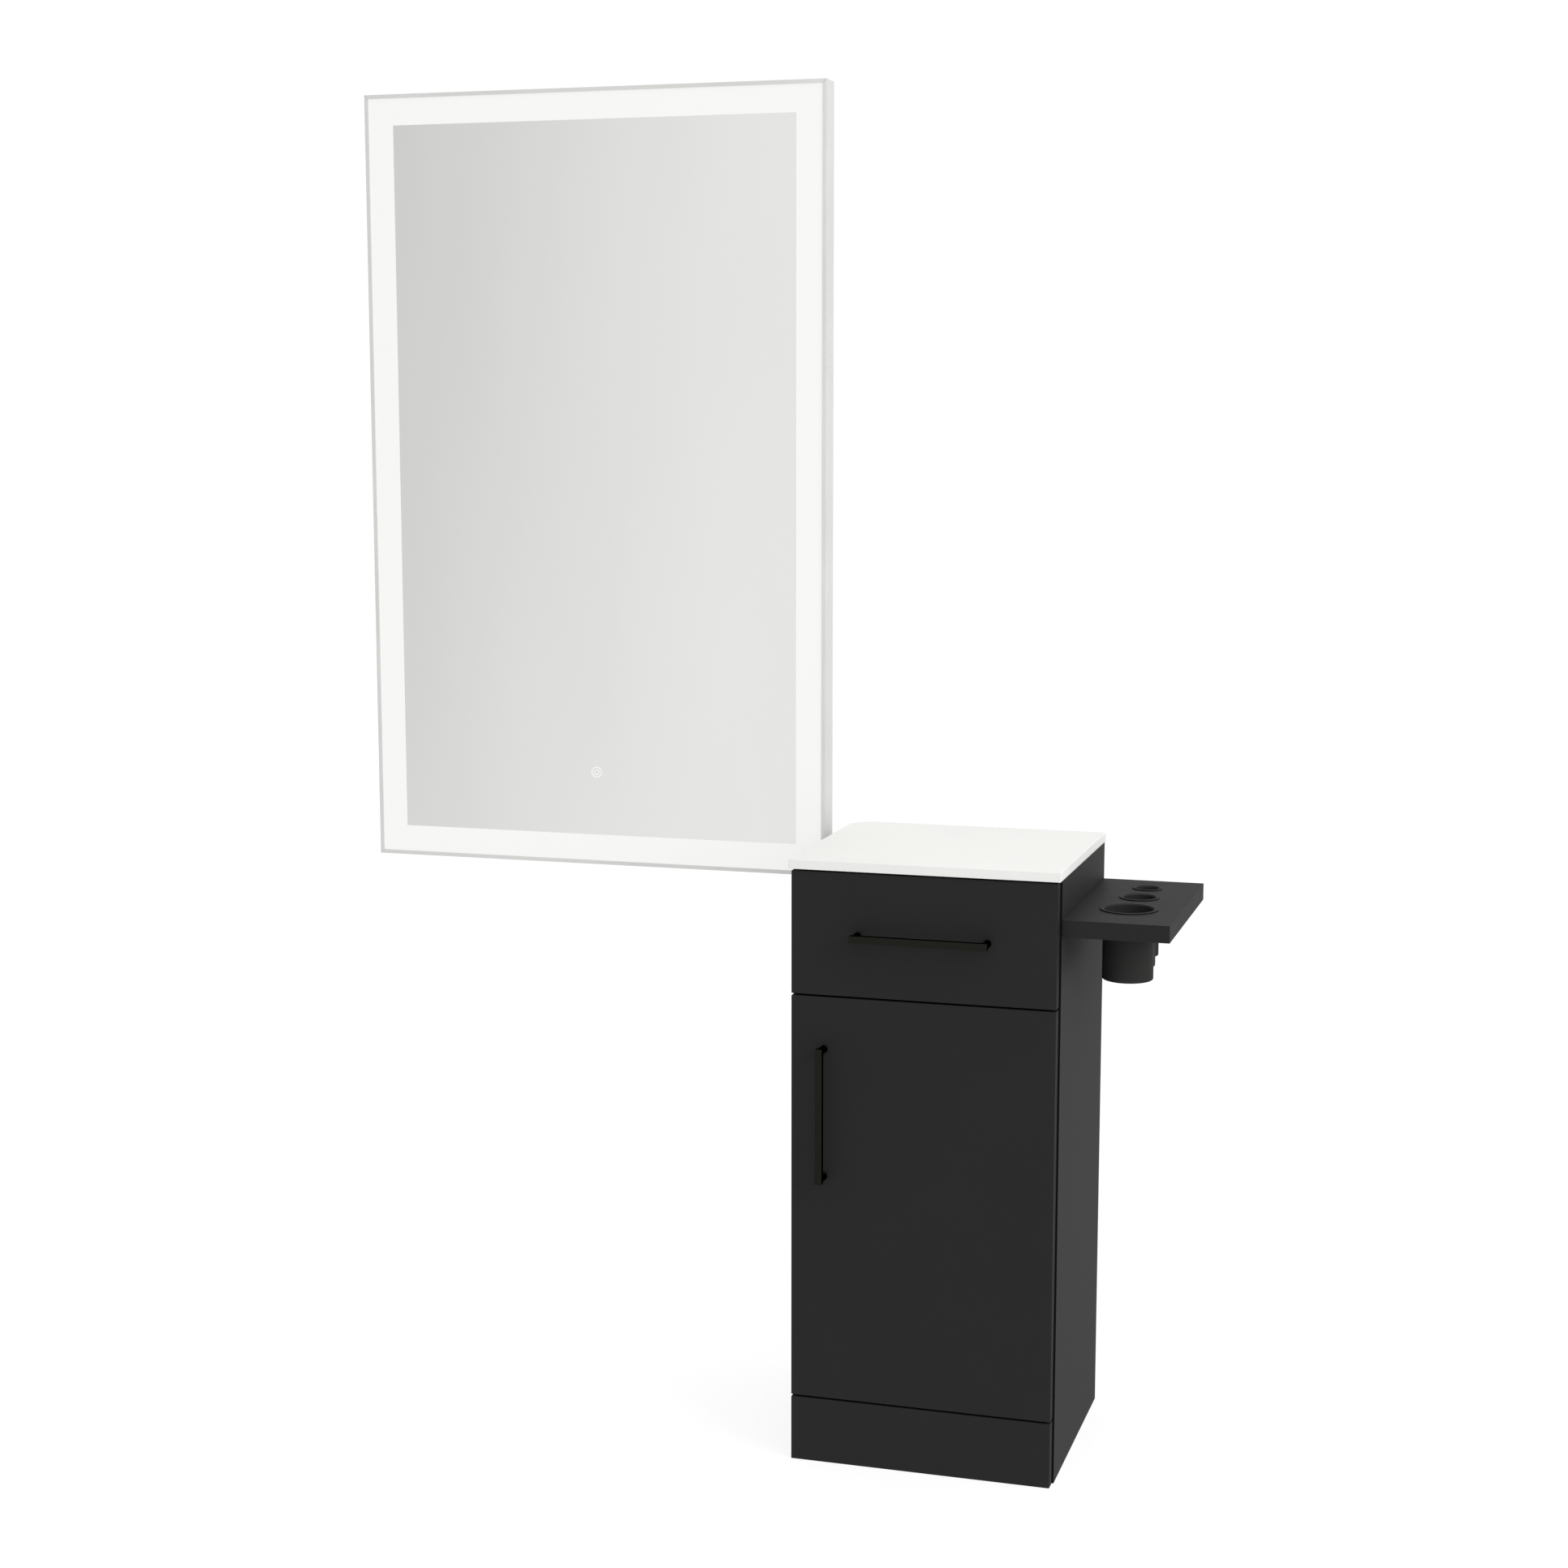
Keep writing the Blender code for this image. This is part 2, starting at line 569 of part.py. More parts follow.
def build_tool_shelf(root):
    """The shelf board beside the cabinet, with its cup holes, and its two bolts."""
    left = CARCASS_RIGHT + GAP
    board = box("tool_shelf", (left, CARCASS_FRONT, TOOL_SHELF_BOTTOM),
                (TOOL_SHELF_RIGHT, WALL_Y, TOOL_SHELF_TOP), root, "black_board")
    for size, (y, radius, _) in CUPS.items():
        hole = rod(f"cut_shelf_{size}", (CUP_X, y, TOOL_SHELF_TOP), radius + CUP_PLAY, 3 * BOARD, "Z",
                   root, "black_board", 48)
        combine(board, hole, "DIFFERENCE")
    for index, y in enumerate(BOLT_YS):
        hole = rod(f"cut_shelf_bolt_{index}", (left, y, BOLT_Z), BOLT_RADIUS + GAP,
                   2 * (BOLT_REACH + GAP), "X", root, "black_board")
        combine(board, hole, "DIFFERENCE")
        build_shelf_bolt(("front", "rear")[index], y, root)
    round_edges(board)


def build_shelf_bolt(row, y, root):
    """A flat-headed bolt from inside the cabinet, through the side panel and into the shelf board."""
    end = CARCASS_RIGHT + BOLT_REACH
    head_back = INNER_RIGHT - GAP
    shank_middle = (head_back + end) / 2 - BOLT_ROOT
    bolt = rod(f"shelf_bolt_{row}", (shank_middle, y, BOLT_Z), BOLT_RADIUS, end - head_back, "X",
               root, "zinc")
    head = rod(f"join_bolt_head_{row}", (head_back - BOLT_HEAD_THICK / 2, y, BOLT_Z), BOLT_HEAD_RADIUS,
               BOLT_HEAD_THICK, "X", root, "zinc")
    combine(bolt, head, "UNION")


def build_tool_cup(size, parent):
    """A thin-walled cup that hangs in its hole by a flange."""
    y, radius, flange = CUPS[size]
    low = -CUP_DEPTH
    foot = (radius - CUP_FOOT_ROUND, low + CUP_FOOT_ROUND)
    inner = radius - CUP_SIDE
    half = CUP_FLANGE / 2
    profile = [(0, low)]
    profile += arc(foot, CUP_FOOT_ROUND, -90, 0, 4)
    profile += [(radius, GAP)]
    profile += arc((flange - half, GAP + half), half, -90, 90, 4)
    top, floor = GAP + CUP_FLANGE, low + CUP_SIDE
    profile += [(inner + CUP_CHAMFER, top), (inner, top - CUP_CHAMFER)]
    profile += [(inner, floor + CUP_CHAMFER), (inner - CUP_CHAMFER, floor), (0, floor)]
    turned(f"tool_cup_{size}", profile, (CUP_X, y, TOOL_SHELF_TOP), parent, "black_plastic")


def build_frame_rail(side, mirror):
    """One mitred rail of the mirror's frame: a lip, a side wall, a seat for the glass and a ledge."""
    wide, tall = MIRROR_RIGHT - MIRROR_LEFT, MIRROR_TOP - MIRROR_BOTTOM
    length = wide if side in ("top", "bottom") else tall
    section = [
        (0, 0), (FRAME_LIP, 0), (FRAME_LIP, FRAME_METAL), (FRAME_METAL, FRAME_METAL),
        (FRAME_METAL, SEAT_DEPTH), (SEAT_WIDTH, SEAT_DEPTH), (SEAT_WIDTH, SEAT_DEPTH + FRAME_METAL),
        (FRAME_METAL, SEAT_DEPTH + FRAME_METAL), (FRAME_METAL, LEDGE_DEPTH), (LEDGE_WIDTH, LEDGE_DEPTH),
        (LEDGE_WIDTH, LEDGE_DEPTH + FRAME_METAL), (FRAME_METAL, LEDGE_DEPTH + FRAME_METAL),
        (FRAME_METAL, MIRROR_DEPTH), (0, MIRROR_DEPTH),
    ]
    work = bmesh.new()
    rings = []
    for end in (-1, 1):
        ring = []
        for inward, depth in section:
            ring.append(work.verts.new((end * (length / 2 - inward - GAP), depth, inward)))
        rings.append(ring)
    close_rings(work, rings)
    name = f"mirror_frame_{side}"
    middle_x, middle_z = (MIRROR_LEFT + MIRROR_RIGHT) / 2, (MIRROR_BOTTOM + MIRROR_TOP) / 2
    place, turn = {
        "bottom": ((middle_x, MIRROR_FRONT, MIRROR_BOTTOM), 0),
        "top": ((middle_x, MIRROR_FRONT, MIRROR_TOP), math.pi),
        "left": ((MIRROR_LEFT, MIRROR_FRONT, middle_z), math.pi / 2),
        "right": ((MIRROR_RIGHT, MIRROR_FRONT, middle_z), -math.pi / 2),
    }[side]
    rail = add_object(name, mesh_from(name, work), place, mirror, "frame_metal")
    rail.rotation_euler = (0, turn, 0)


def mirror_sheet(name, inset, front, thick, mirror, look):
    """A rectangular sheet inside the mirror, `inset` from the frame's outer edges."""
    low = (MIRROR_LEFT + inset, MIRROR_FRONT + front, MIRROR_BOTTOM + inset)
    high = (MIRROR_RIGHT - inset, MIRROR_FRONT + front + thick, MIRROR_TOP - inset)
    return box(name, low, high, mirror, look)


def mirror_ring(name, inset, width, front, thick, mirror, look):
    """A sheet with a rectangular window, `width` wide all round."""
    ring = mirror_sheet(name, inset, front, thick, mirror, look)
    window = mirror_sheet(f"cut_{name}", inset + width, front - thick, 3 * thick, mirror, look)
    combine(ring, window, "DIFFERENCE")
    return ring


def build_mirror(mirror):
    """The lit mirror: frame, glass, back plate, light, switch, supply and hanger."""
    for side in ("left", "right", "top", "bottom"):
        build_frame_rail(side, mirror)
    edge = FRAME_METAL + GAP
    band = BAND_INNER - edge - GAP / 2
    mirror_ring("light_band", edge, band, GLASS_FRONT, GLASS_THICK, mirror, "frosted")
    mirror_sheet("mirror_glass", BAND_INNER + GAP / 2, GLASS_FRONT, GLASS_THICK, mirror, "mirror")
    mirror_ring("led_strip", LED_INSET, LED_WIDTH, LED_DEPTH, LED_THICK, mirror, "white_plastic")
    middle_x = (MIRROR_LEFT + MIRROR_RIGHT) / 2
    plate_back = build_back_plate(edge, middle_x, mirror)
    build_supply(middle_x, plate_back, mirror)
    sensor_y = MIRROR_FRONT + GLASS_FRONT + GLASS_THICK + GAP + TOUCH_THICK / 2
    rod("touch_sensor", (middle_x, sensor_y, TOUCH_Z), TOUCH_RADIUS, TOUCH_THICK, "Y", mirror,
        "white_plastic", 32)
    build_hanger(middle_x, plate_back, mirror)


def build_back_plate(edge, middle_x, mirror):
    """The steel plate behind the light, with the gland's hole; returns its back face."""
    plate = mirror_sheet("mirror_back_plate", edge, PLATE_DEPTH, PLATE_THICK, mirror, "zinc")
    place = (middle_x, MIRROR_FRONT + PLATE_DEPTH, MIRROR_BOTTOM + GLAND_RISE)
    hole = rod("cut_gland", place, GLAND_RADIUS + GAP, 4 * PLATE_THICK, "Y", mirror, "zinc")
    combine(plate, hole, "DIFFERENCE")
    return MIRROR_FRONT + PLATE_DEPTH + PLATE_THICK


def build_supply(middle_x, plate_back, mirror):
    """The ring-shaped gland where the supply comes in, and the driver above it."""
    z = MIRROR_BOTTOM + GLAND_RISE
    seat = plate_back + GAP
    gland = rod("cable_gland", (middle_x, seat + GLAND_LENGTH / 2 - GLAND_INSIDE, z), GLAND_RADIUS,
                GLAND_LENGTH, "Y", mirror, "black_plastic")
    nut = rod("join_gland_nut", (middle_x, seat + GLAND_NUT_THICK / 2, z), GLAND_NUT_RADIUS,
              GLAND_NUT_THICK, "Y", mirror, "black_plastic", 6)
    bore = rod("cut_gland_bore", (middle_x, seat, z), GLAND_BORE_RADIUS, 4 * GLAND_LENGTH, "Y",
               mirror, "black_plastic")
    combine(gland, nut, "UNION")
    combine(gland, bore, "DIFFERENCE")
    low, high = DRIVER_RISE
    box("led_driver", (middle_x - DRIVER_HALF_LENGTH, MIRROR_FRONT + DRIVER_DEPTH, z + low),
        (middle_x + DRIVER_HALF_LENGTH, MIRROR_FRONT + PLATE_DEPTH - GAP, z + high), mirror,
        "white_plastic")


def cleat_top(y):
    """Height of the cleat's sloped top at depth y."""
    return CLEAT_TOP_Z + CLEAT_SLOPE * (WALL_Y - y) / CLEAT_THICK


def build_hanger(middle_x, plate_back, mirror):
    """The sloped rail on the mirror's back, which drops behind the lip of the wall cleat."""
    front, back = plate_back + GAP, WALL_Y - HANGER_OFF_WALL
    outline = [
        (front, cleat_top(front) + 2 * GAP), (back, cleat_top(back) + 2 * GAP),
        (back, CLEAT_TOP_Z + CLEAT_HEIGHT), (front, CLEAT_TOP_Z + CLEAT_HEIGHT),
    ]
    half = CLEAT_LENGTH / 2
    extruded("mirror_hanger", outline, middle_x - half, middle_x + half, "X", mirror, "zinc")


def build_wall_cleat(root):
    """The rail on the wall that the mirror hangs on."""
    front = WALL_Y - CLEAT_THICK
    half = CLEAT_LENGTH / 2
    middle_x = (MIRROR_LEFT + MIRROR_RIGHT) / 2
    outline = [
        (front, CLEAT_TOP_Z - CLEAT_HEIGHT), (WALL_Y, CLEAT_TOP_Z - CLEAT_HEIGHT),
        (WALL_Y, CLEAT_TOP_Z), (front, cleat_top(front)),
    ]
    extruded("wall_cleat", outline, middle_x - half, middle_x + half, "X", root, "zinc")


def build_station():
    clear_scene()
    for look in COLOURS:
        make_material(look)
    station = make_empty("station", (0, 0, 0))
    station.location = -STATION_CENTRE
    drawer = make_empty("drawer_axis", (FRONT_WIDTH / 2, 0, SLIDE_CENTRE_Z), station)
    door = make_empty("door_axis", (*PIN_B, HINGE_HEIGHTS["upper"]), station)
    mirror = make_empty("mirror_axis", ((MIRROR_LEFT + MIRROR_RIGHT) / 2, WALL_Y, CLEAT_TOP_Z), station)
    middles = {
        "left": make_empty("slide_axis_left", (INNER_LEFT, SLIDE_FRONT, SLIDE_CENTRE_Z), station),
        "right": make_empty("slide_axis_right", (INNER_RIGHT, SLIDE_FRONT, SLIDE_CENTRE_Z), station),
    }
    back_front = build_carcass(station)
    build_countertop(station)
    build_inner_shelf(station, back_front)
    build_tool_shelf(station)
    build_wall_cleat(station)
    build_drawer(drawer)
    build_slides(station, middles, drawer)
    build_door(door)
    for level, z in HINGE_HEIGHTS.items():
        link = make_empty(f"hinge_axis_{level}", (*PIN_A, z), station)
        build_hinge_cup(level, z, door)
        build_hinge_link(level, z, link)
        build_hinge_arm(level, z, station)
    for size, (y, _, _) in CUPS.items():
        build_tool_cup(size, make_empty(f"cup_axis_{size}", (CUP_X, y, TOOL_SHELF_TOP), station))
    build_mirror(mirror)


build_station()
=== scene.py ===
"""Salon styling station, the visual model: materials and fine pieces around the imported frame.

Sizes are in metres. Places come from the frame's own boxes: +X is to the right of a person facing the
station, +Y points into the wall and z = 0 is the floor.
"""

import math

import bmesh
import bpy
from mathutils import Matrix, Vector


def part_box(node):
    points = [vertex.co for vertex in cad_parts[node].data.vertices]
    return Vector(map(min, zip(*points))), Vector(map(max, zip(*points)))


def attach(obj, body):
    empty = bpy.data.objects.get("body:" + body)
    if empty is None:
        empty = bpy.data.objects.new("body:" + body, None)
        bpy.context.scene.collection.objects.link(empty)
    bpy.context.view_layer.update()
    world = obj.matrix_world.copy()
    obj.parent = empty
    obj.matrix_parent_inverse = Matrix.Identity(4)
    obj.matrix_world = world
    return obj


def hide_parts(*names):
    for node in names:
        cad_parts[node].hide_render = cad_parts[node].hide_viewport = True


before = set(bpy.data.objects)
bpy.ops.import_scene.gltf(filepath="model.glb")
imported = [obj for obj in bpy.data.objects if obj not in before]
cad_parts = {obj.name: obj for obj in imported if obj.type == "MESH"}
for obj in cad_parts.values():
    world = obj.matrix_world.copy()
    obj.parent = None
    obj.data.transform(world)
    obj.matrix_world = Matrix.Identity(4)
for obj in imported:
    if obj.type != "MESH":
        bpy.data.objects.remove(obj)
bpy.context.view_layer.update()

MM = 0.001

# Camera
CAMERA_PLACE = (1.1925, -3.7498, 1.5574)
CAMERA_TILT = 81.782                # degrees from straight down
CAMERA_TURN = 16.704                # degrees to the left of +Y
CAMERA_LENS = 60.238
CAMERA_SENSOR = 36.0

# Stage and light
FLOOR_RADIUS = 3.0
FLOOR_DROP = 0.2 * MM               # under the station's feet, so that the faces don't coincide
FLOOR_COLOUR = (0.2, 0.2, 0.1988)
FLOOR_GLOW = 0.82
DOME_RADIUS = 40.0
DOME_COLOUR = (0, 0, 0)
DOME_GLOW = 1.02
WORLD_TINT = (1.0, 1.0, 0.99, 1.0)
WORLD_FALL = (                      # direction, where the change starts and ends, strength there
    ((1, 0, -0.14), -0.61, -0.27, 0.5, 0.97),
    ((0, 1, 0), -0.1, 0.6, 1.0, 0.83),
    ((0, 0, 1), 0.35, 1.0, 1.0, 1.5),
    ((0, 0, -1), 0.19, 0.5, 1.0, 0.7),
)

# Directions
FRONT = Vector((0, -1, 0))
BACK = Vector((0, 1, 0))
LEFT = Vector((-1, 0, 0))
RIGHT = Vector((1, 0, 0))
UP = Vector((0, 0, 1))

# Shading
WELD_REACH = 0.01 * MM
NODE_SHARP_ANGLE = 50               # degrees between faces that keep a crisp edge, on CAD nodes
PIECE_SHARP_ANGLE = 35              # and on the pieces made here
FLAT_WEIGHT = 100                   # lets the larger face set the shading along an edge

# Which look each CAD node takes; a fitting that isn't listed is zinc-plated steel
BOARD_LOOKS = {
    # the side panels' front edges carry painted shade
    "front_shaded_board": ("side_panel_left", "side_panel_right"),
    "black_board": (
        "bottom_panel", "divider_rail", "top_rail_front", "wall_rail",
        "back_panel", "plinth_rail_front", "plinth_rail_rear", "toe_kick_panel", "adjustable_shelf",
        "tool_shelf", "drawer_front", "door_panel",
    ),
    "grey_board": (
        "drawer_side_left", "drawer_side_right", "drawer_box_front", "drawer_box_back", "drawer_bottom",
    ),
}
NODE_LOOKS = {
    "countertop": "white_top",
    "mirror_glass": "mirror",
    "light_band": "frosted",
    "mirror_back_plate": "galvanised",
    "mirror_hanger": "cleat",
    "wall_cleat": "cleat",
    "led_strip": "led",
    "led_driver": "white_plastic",
    "touch_sensor": "white_plastic",
    "cable_gland": "black_plastic",
}
GROUP_LOOKS = {
    "_pull_": "plated_pull",
    "tool_cup": "moulded_black",
    "mirror_frame": "satin_frame",
}
FITTING_LOOK = "zinc"


def extent(node):
    """Lowest corner, highest corner and centre of a CAD node."""
    low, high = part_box(node)
    return low, high, (low + high) / 2


# ---------------------------------------------------------------- materials

class Surface:
    """A material in the making. Its patterns are fixed to the piece, in metres."""

    def __init__(self, name, metallic=0.0, specular=0.5):
        self.material = bpy.data.materials.new(name)
        self.material.use_nodes = True
        self.tree = self.material.node_tree
        self.shader = self.tree.nodes["Principled BSDF"]
        self.shader.inputs["Metallic"].default_value = metallic
        self.shader.inputs["Specular IOR Level"].default_value = specular
        coordinates = self.tree.nodes.new("ShaderNodeTexCoord")
        self.place = coordinates.outputs["Object"]
        self.normal = coordinates.outputs["Normal"]

    def link(self, source, target):
        self.tree.links.new(source, target)

    def glow(self, colour, strength):
        """Light that the surface gives off by itself."""
        self.shader.inputs["Emission Color"].default_value = (*colour, 1)
        self.shader.inputs["Emission Strength"].default_value = strength

    def stretched(self, stretch):
        """The piece's coordinates, scaled differently along X, Y and Z."""
        mapping = self.tree.nodes.new("ShaderNodeMapping")
        mapping.inputs["Scale"].default_value = stretch
        self.link(self.place, mapping.inputs["Vector"])
        return mapping.outputs["Vector"]

    def noise(self, scale, detail=3.0, stretch=None):
        """A cloudy pattern from 0 to 1."""
        node = self.tree.nodes.new("ShaderNodeTexNoise")
        node.inputs["Scale"].default_value = scale
        node.inputs["Detail"].default_value = detail
        self.link(self.stretched(stretch) if stretch else self.place, node.inputs["Vector"])
        return node.outputs["Fac"]

    def cells(self, scale, output="Color"):
        """A pattern of crystals or pits."""
        node = self.tree.nodes.new("ShaderNodeTexVoronoi")
        node.inputs["Scale"].default_value = scale
        self.link(self.place, node.inputs["Vector"])
        return node.outputs[output]

    def parts(self, colour):
        """The three outputs that hold a colour's red, green and blue."""
        node = self.tree.nodes.new("ShaderNodeSeparateColor")
        self.link(colour, node.inputs["Color"])
        return node.outputs

    def ramp(self, value, dark, light, start=0.3, end=0.7):
        """A colour between dark and light as the value goes from start to end."""
        node = self.tree.nodes.new("ShaderNodeValToRGB")
        first, last = node.color_ramp.elements
        first.position, last.position = start, end
        first.color, last.color = (*dark, 1), (*light, 1)
        self.link(value, node.inputs["Fac"])
        return node.outputs["Color"]

    def span(self, value, low, high, start=0.3, end=0.7):
        """A number between low and high as the value goes from start to end."""
        node = self.tree.nodes.new("ShaderNodeMapRange")
        for socket, number in (("From Min", start), ("From Max", end), ("To Min", low), ("To Max", high)):
            node.inputs[socket].default_value = number
        self.link(value, node.inputs["Value"])
        return node.outputs["Result"]

    def mixed(self, share, first, second):
        """The first colour turning into the second as share goes from 0 to 1."""
        node = self.tree.nodes.new("ShaderNodeMix")
        node.data_type = "RGBA"
        self.link(share, node.inputs["Factor"])
        for socket, colour in (("A", first), ("B", second)):
            target = [one for one in node.inputs if one.name == socket and one.type == "RGBA"][0]
            if isinstance(colour, tuple):
                target.default_value = (*colour, 1)
            else:
                self.link(colour, target)
        return [one for one in node.outputs if one.type == "RGBA"][0]

    def dot(self, first, second):
        """The scalar product of an output with another output or a fixed direction."""
        node = self.tree.nodes.new("ShaderNodeVectorMath")
        node.operation = "DOT_PRODUCT"
        self.link(first, node.inputs[0])
        if isinstance(second, Vector):
            node.inputs[1].default_value = second
        else:
            self.link(second, node.inputs[1])
        return node.outputs["Value"]

    def edges(self, radius, strength):
        """A share that rises to strength on rounded edges within a radius; mixed into a colour, it paints a
        highlight there.
        """
        bevel = self.tree.nodes.new("ShaderNodeBevel")
        bevel.samples = 4
        bevel.inputs["Radius"].default_value = radius
        geometry = self.tree.nodes.new("ShaderNodeNewGeometry")
        flatness = self.dot(bevel.outputs["Normal"], geometry.outputs["Normal"])
        return self.span(flatness, low=strength, high=0.0, start=0.75, end=0.98)

    def relief(self, height, distance, below=None):
        """A normal from a height pattern whose full height is the distance."""
        node = self.tree.nodes.new("ShaderNodeBump")
        node.inputs["Distance"].default_value = distance
        node.inputs["Strength"].default_value = 1.0
        self.link(height, node.inputs["Height"])
        if below:
            self.link(below, node.inputs["Normal"])
        return node.outputs["Normal"]

    def finish(self, colour, roughness, normal=None):
        """Connects the patterns to the shader and returns the material."""
        for socket, source in (("Base Color", colour), ("Roughness", roughness), ("Normal", normal)):
            if source is not None:
                self.link(source, self.shader.inputs[socket])
        return self.material


def black_board(name, paint_front_shade=False):
    """Matte black melamine with a fine pearl and a painted highlight that makes it paler along its rounded
    edges.

    When asked for, the faces that point to the front are painted near-black: painted shade standing in for
    the shadow in the gap beside the doors and drawer.
    """
    made = Surface(name, specular=0.122)
    clouds = made.noise(scale=9.0, detail=4.0)
    patches = made.ramp(clouds, dark=(0.0149, 0.0149, 0.0150), light=(0.0163, 0.0163, 0.0163))
    grain = made.noise(scale=1500.0, detail=2.0)
    fine = made.ramp(
        grain, dark=(0.0137, 0.0137, 0.0137), light=(0.0179, 0.0179, 0.0178), start=0.35, end=0.65
    )
    body = made.mixed(made.span(made.noise(scale=240.0), low=0.25, high=0.6), patches, fine)
    # painted highlight: the rounded edges turn paler
    colour = made.mixed(made.edges(radius=1.6 * MM, strength=0.55), body, second=(0.030, 0.030, 0.030))
    roughness = made.span(made.noise(scale=45.0, detail=3.0), low=0.60, high=0.63)
    peel = made.relief(made.noise(scale=420.0, detail=2.0), distance=0.03 * MM)
    if paint_front_shade:
        # painted shade: faces that point to the front turn near-black, standing in for the gap's shadow
        front = made.span(made.dot(made.normal, FRONT), low=0.0, high=1.0, start=0.6, end=0.8)
        painted_shade_tone = made.ramp(grain, dark=(0.003, 0.003, 0.003), light=(0.005, 0.005, 0.005))
        colour = made.mixed(front, colour, painted_shade_tone)
        roughness = made.span(front, low=0.61, high=0.9, start=0.0, end=1.0)
    return made.finish(colour, roughness, made.relief(grain, distance=0.02 * MM, below=peel))


def grey_board():
    """Grey laminated drawer board with a faint linen grain."""
    made = Surface("grey_melamine", specular=0.35)
    weft = made.noise(scale=900.0, detail=1.0, stretch=(0.12, 1.0, 1.0))
    warp = made.noise(scale=900.0, detail=1.0, stretch=(1.0, 1.0, 0.12))
    weft_share = made.span(weft, low=0.0, high=1.0)
    cloth = made.mixed(weft_share, first=(0.19, 0.19, 0.188), second=(0.25, 0.25, 0.247))
    colour = made.mixed(made.span(warp, low=0.0, high=0.5), cloth, second=(0.17, 0.17, 0.17))
    roughness = made.span(made.noise(scale=20.0, detail=4.0), low=0.48, high=0.6)
    threads = made.relief(weft, distance=0.03 * MM)
    return made.finish(colour, roughness, made.relief(warp, distance=0.03 * MM, below=threads))


def white_top():
    """White solid surface: a barely visible speckle under a satin polish."""
    made = Surface("white_solid_surface", specular=0.05)
    clouds = made.noise(scale=5.0, detail=6.0)
    veil = made.ramp(clouds, dark=(0.713, 0.713, 0.701), light=(0.733, 0.733, 0.721))
    speck = made.span(made.noise(scale=2400.0, detail=2.0), low=0.0, high=0.35, start=0.55, end=0.75)
    colour = made.mixed(speck, veil, second=(0.675, 0.675, 0.665))
    roughness = made.span(made.noise(scale=40.0, detail=5.0), low=0.55, high=0.62)
    polish = made.relief(made.noise(scale=120.0, detail=3.0), distance=0.008 * MM)
    return made.finish(colour, roughness, polish)


def plated_pull():
    """Black-plated zinc of the pulls: a warm dark sheen, dead at a slant, with a painted highlight along its
    edges.
    """
    made = Surface("black_plated_zinc", metallic=1.0)
    made.shader.inputs["Specular Tint"].default_value = (0.0, 0.0, 0.0, 1)
    clouds = made.noise(scale=1100.0, detail=3.0)
    body = made.ramp(clouds, dark=(0.0167, 0.0170, 0.0140), light=(0.0200, 0.0203, 0.0170))
    # painted highlight: the edges turn paler
    colour = made.mixed(made.edges(radius=1.2 * MM, strength=0.8), body, second=(0.06, 0.06, 0.052))
    roughness = made.span(made.noise(scale=60.0, detail=4.0), low=0.30, high=0.38)
    grain = made.relief(made.noise(scale=1500.0, detail=2.0), distance=0.01 * MM)
    return made.finish(colour, roughness, grain)


def moulded_black():
    """Spark-eroded black plastic of the tool cups."""
    made = Surface("black_moulded_plastic", specular=0.09)
    spark = made.cells(scale=1400.0, output="Distance")
    clouds = made.noise(scale=700.0, detail=4.0)
    body = made.ramp(clouds, dark=(0.0195, 0.0195, 0.0192), light=(0.0235, 0.0235, 0.0231))
    pits = made.span(spark, low=0.35, high=0.0, start=0.1, end=0.5)
    colour = made.mixed(pits, body, second=(0.02, 0.02, 0.0195))
    roughness = made.span(made.noise(scale=90.0, detail=4.0), low=0.58, high=0.66)
    return made.finish(colour, roughness, made.relief(spark, distance=0.03 * MM))


def satin_frame():
    """Satin-anodised aluminium of the mirror's frame, its grain running along each rail."""
    made = Surface("satin_aluminium", metallic=0.35, specular=0.5)
    upright = made.noise(scale=900.0, detail=4.0, stretch=(1.0, 1.0, 0.02))
    level = made.noise(scale=900.0, detail=4.0, stretch=(0.02, 1.0, 1.0))
    clouds = made.noise(scale=6.0, detail=4.0)
    tone = made.ramp(clouds, dark=(0.65, 0.65, 0.64), light=(0.71, 0.71, 0.70))
    colour = made.mixed(made.span(upright, low=0.0, high=0.25), tone, second=(0.545, 0.545, 0.535))
    roughness = made.span(level, low=0.34, high=0.46)
    lines = made.relief(level, distance=0.012 * MM)
    return made.finish(colour, roughness, made.relief(upright, distance=0.012 * MM, below=lines))


def frosted_band():
    """Sand-blasted glass lit from behind."""
    made = Surface("frosted_glass", specular=0.4)
    made.glow(colour=(1.0, 0.995, 0.98), strength=0.715)
    grit = made.noise(scale=2200.0, detail=2.0)
    colour = made.ramp(grit, dark=(0.165, 0.165, 0.163), light=(0.205, 0.205, 0.203))
    roughness = made.span(made.noise(scale=30.0, detail=4.0), low=0.5, high=0.62)
    return made.finish(colour, roughness, made.relief(grit, distance=0.02 * MM))


def silvered_glass():
    """The mirror: a faint green-grey cast and the slightest wiping haze."""
    made = Surface("silvered_glass", metallic=1.0)
    haze = made.noise(scale=5.0, detail=6.0, stretch=(1.0, 1.0, 0.35))
    colour = made.ramp(haze, dark=(0.803, 0.807, 0.800), light=(0.821, 0.824, 0.817))
    return made.finish(colour, made.span(haze, low=0.012, high=0.03))


def lit_mark():
    """The lit mark of the touch switch."""
    made = Surface("lit_mark", specular=0.3)
    made.glow(colour=(1.0, 1.0, 0.99), strength=0.42)
    colour = made.ramp(made.noise(scale=1500.0), dark=(0.5, 0.5, 0.5), light=(0.56, 0.56, 0.555))
    return made.finish(colour, made.span(made.noise(scale=300.0), low=0.45, high=0.6))


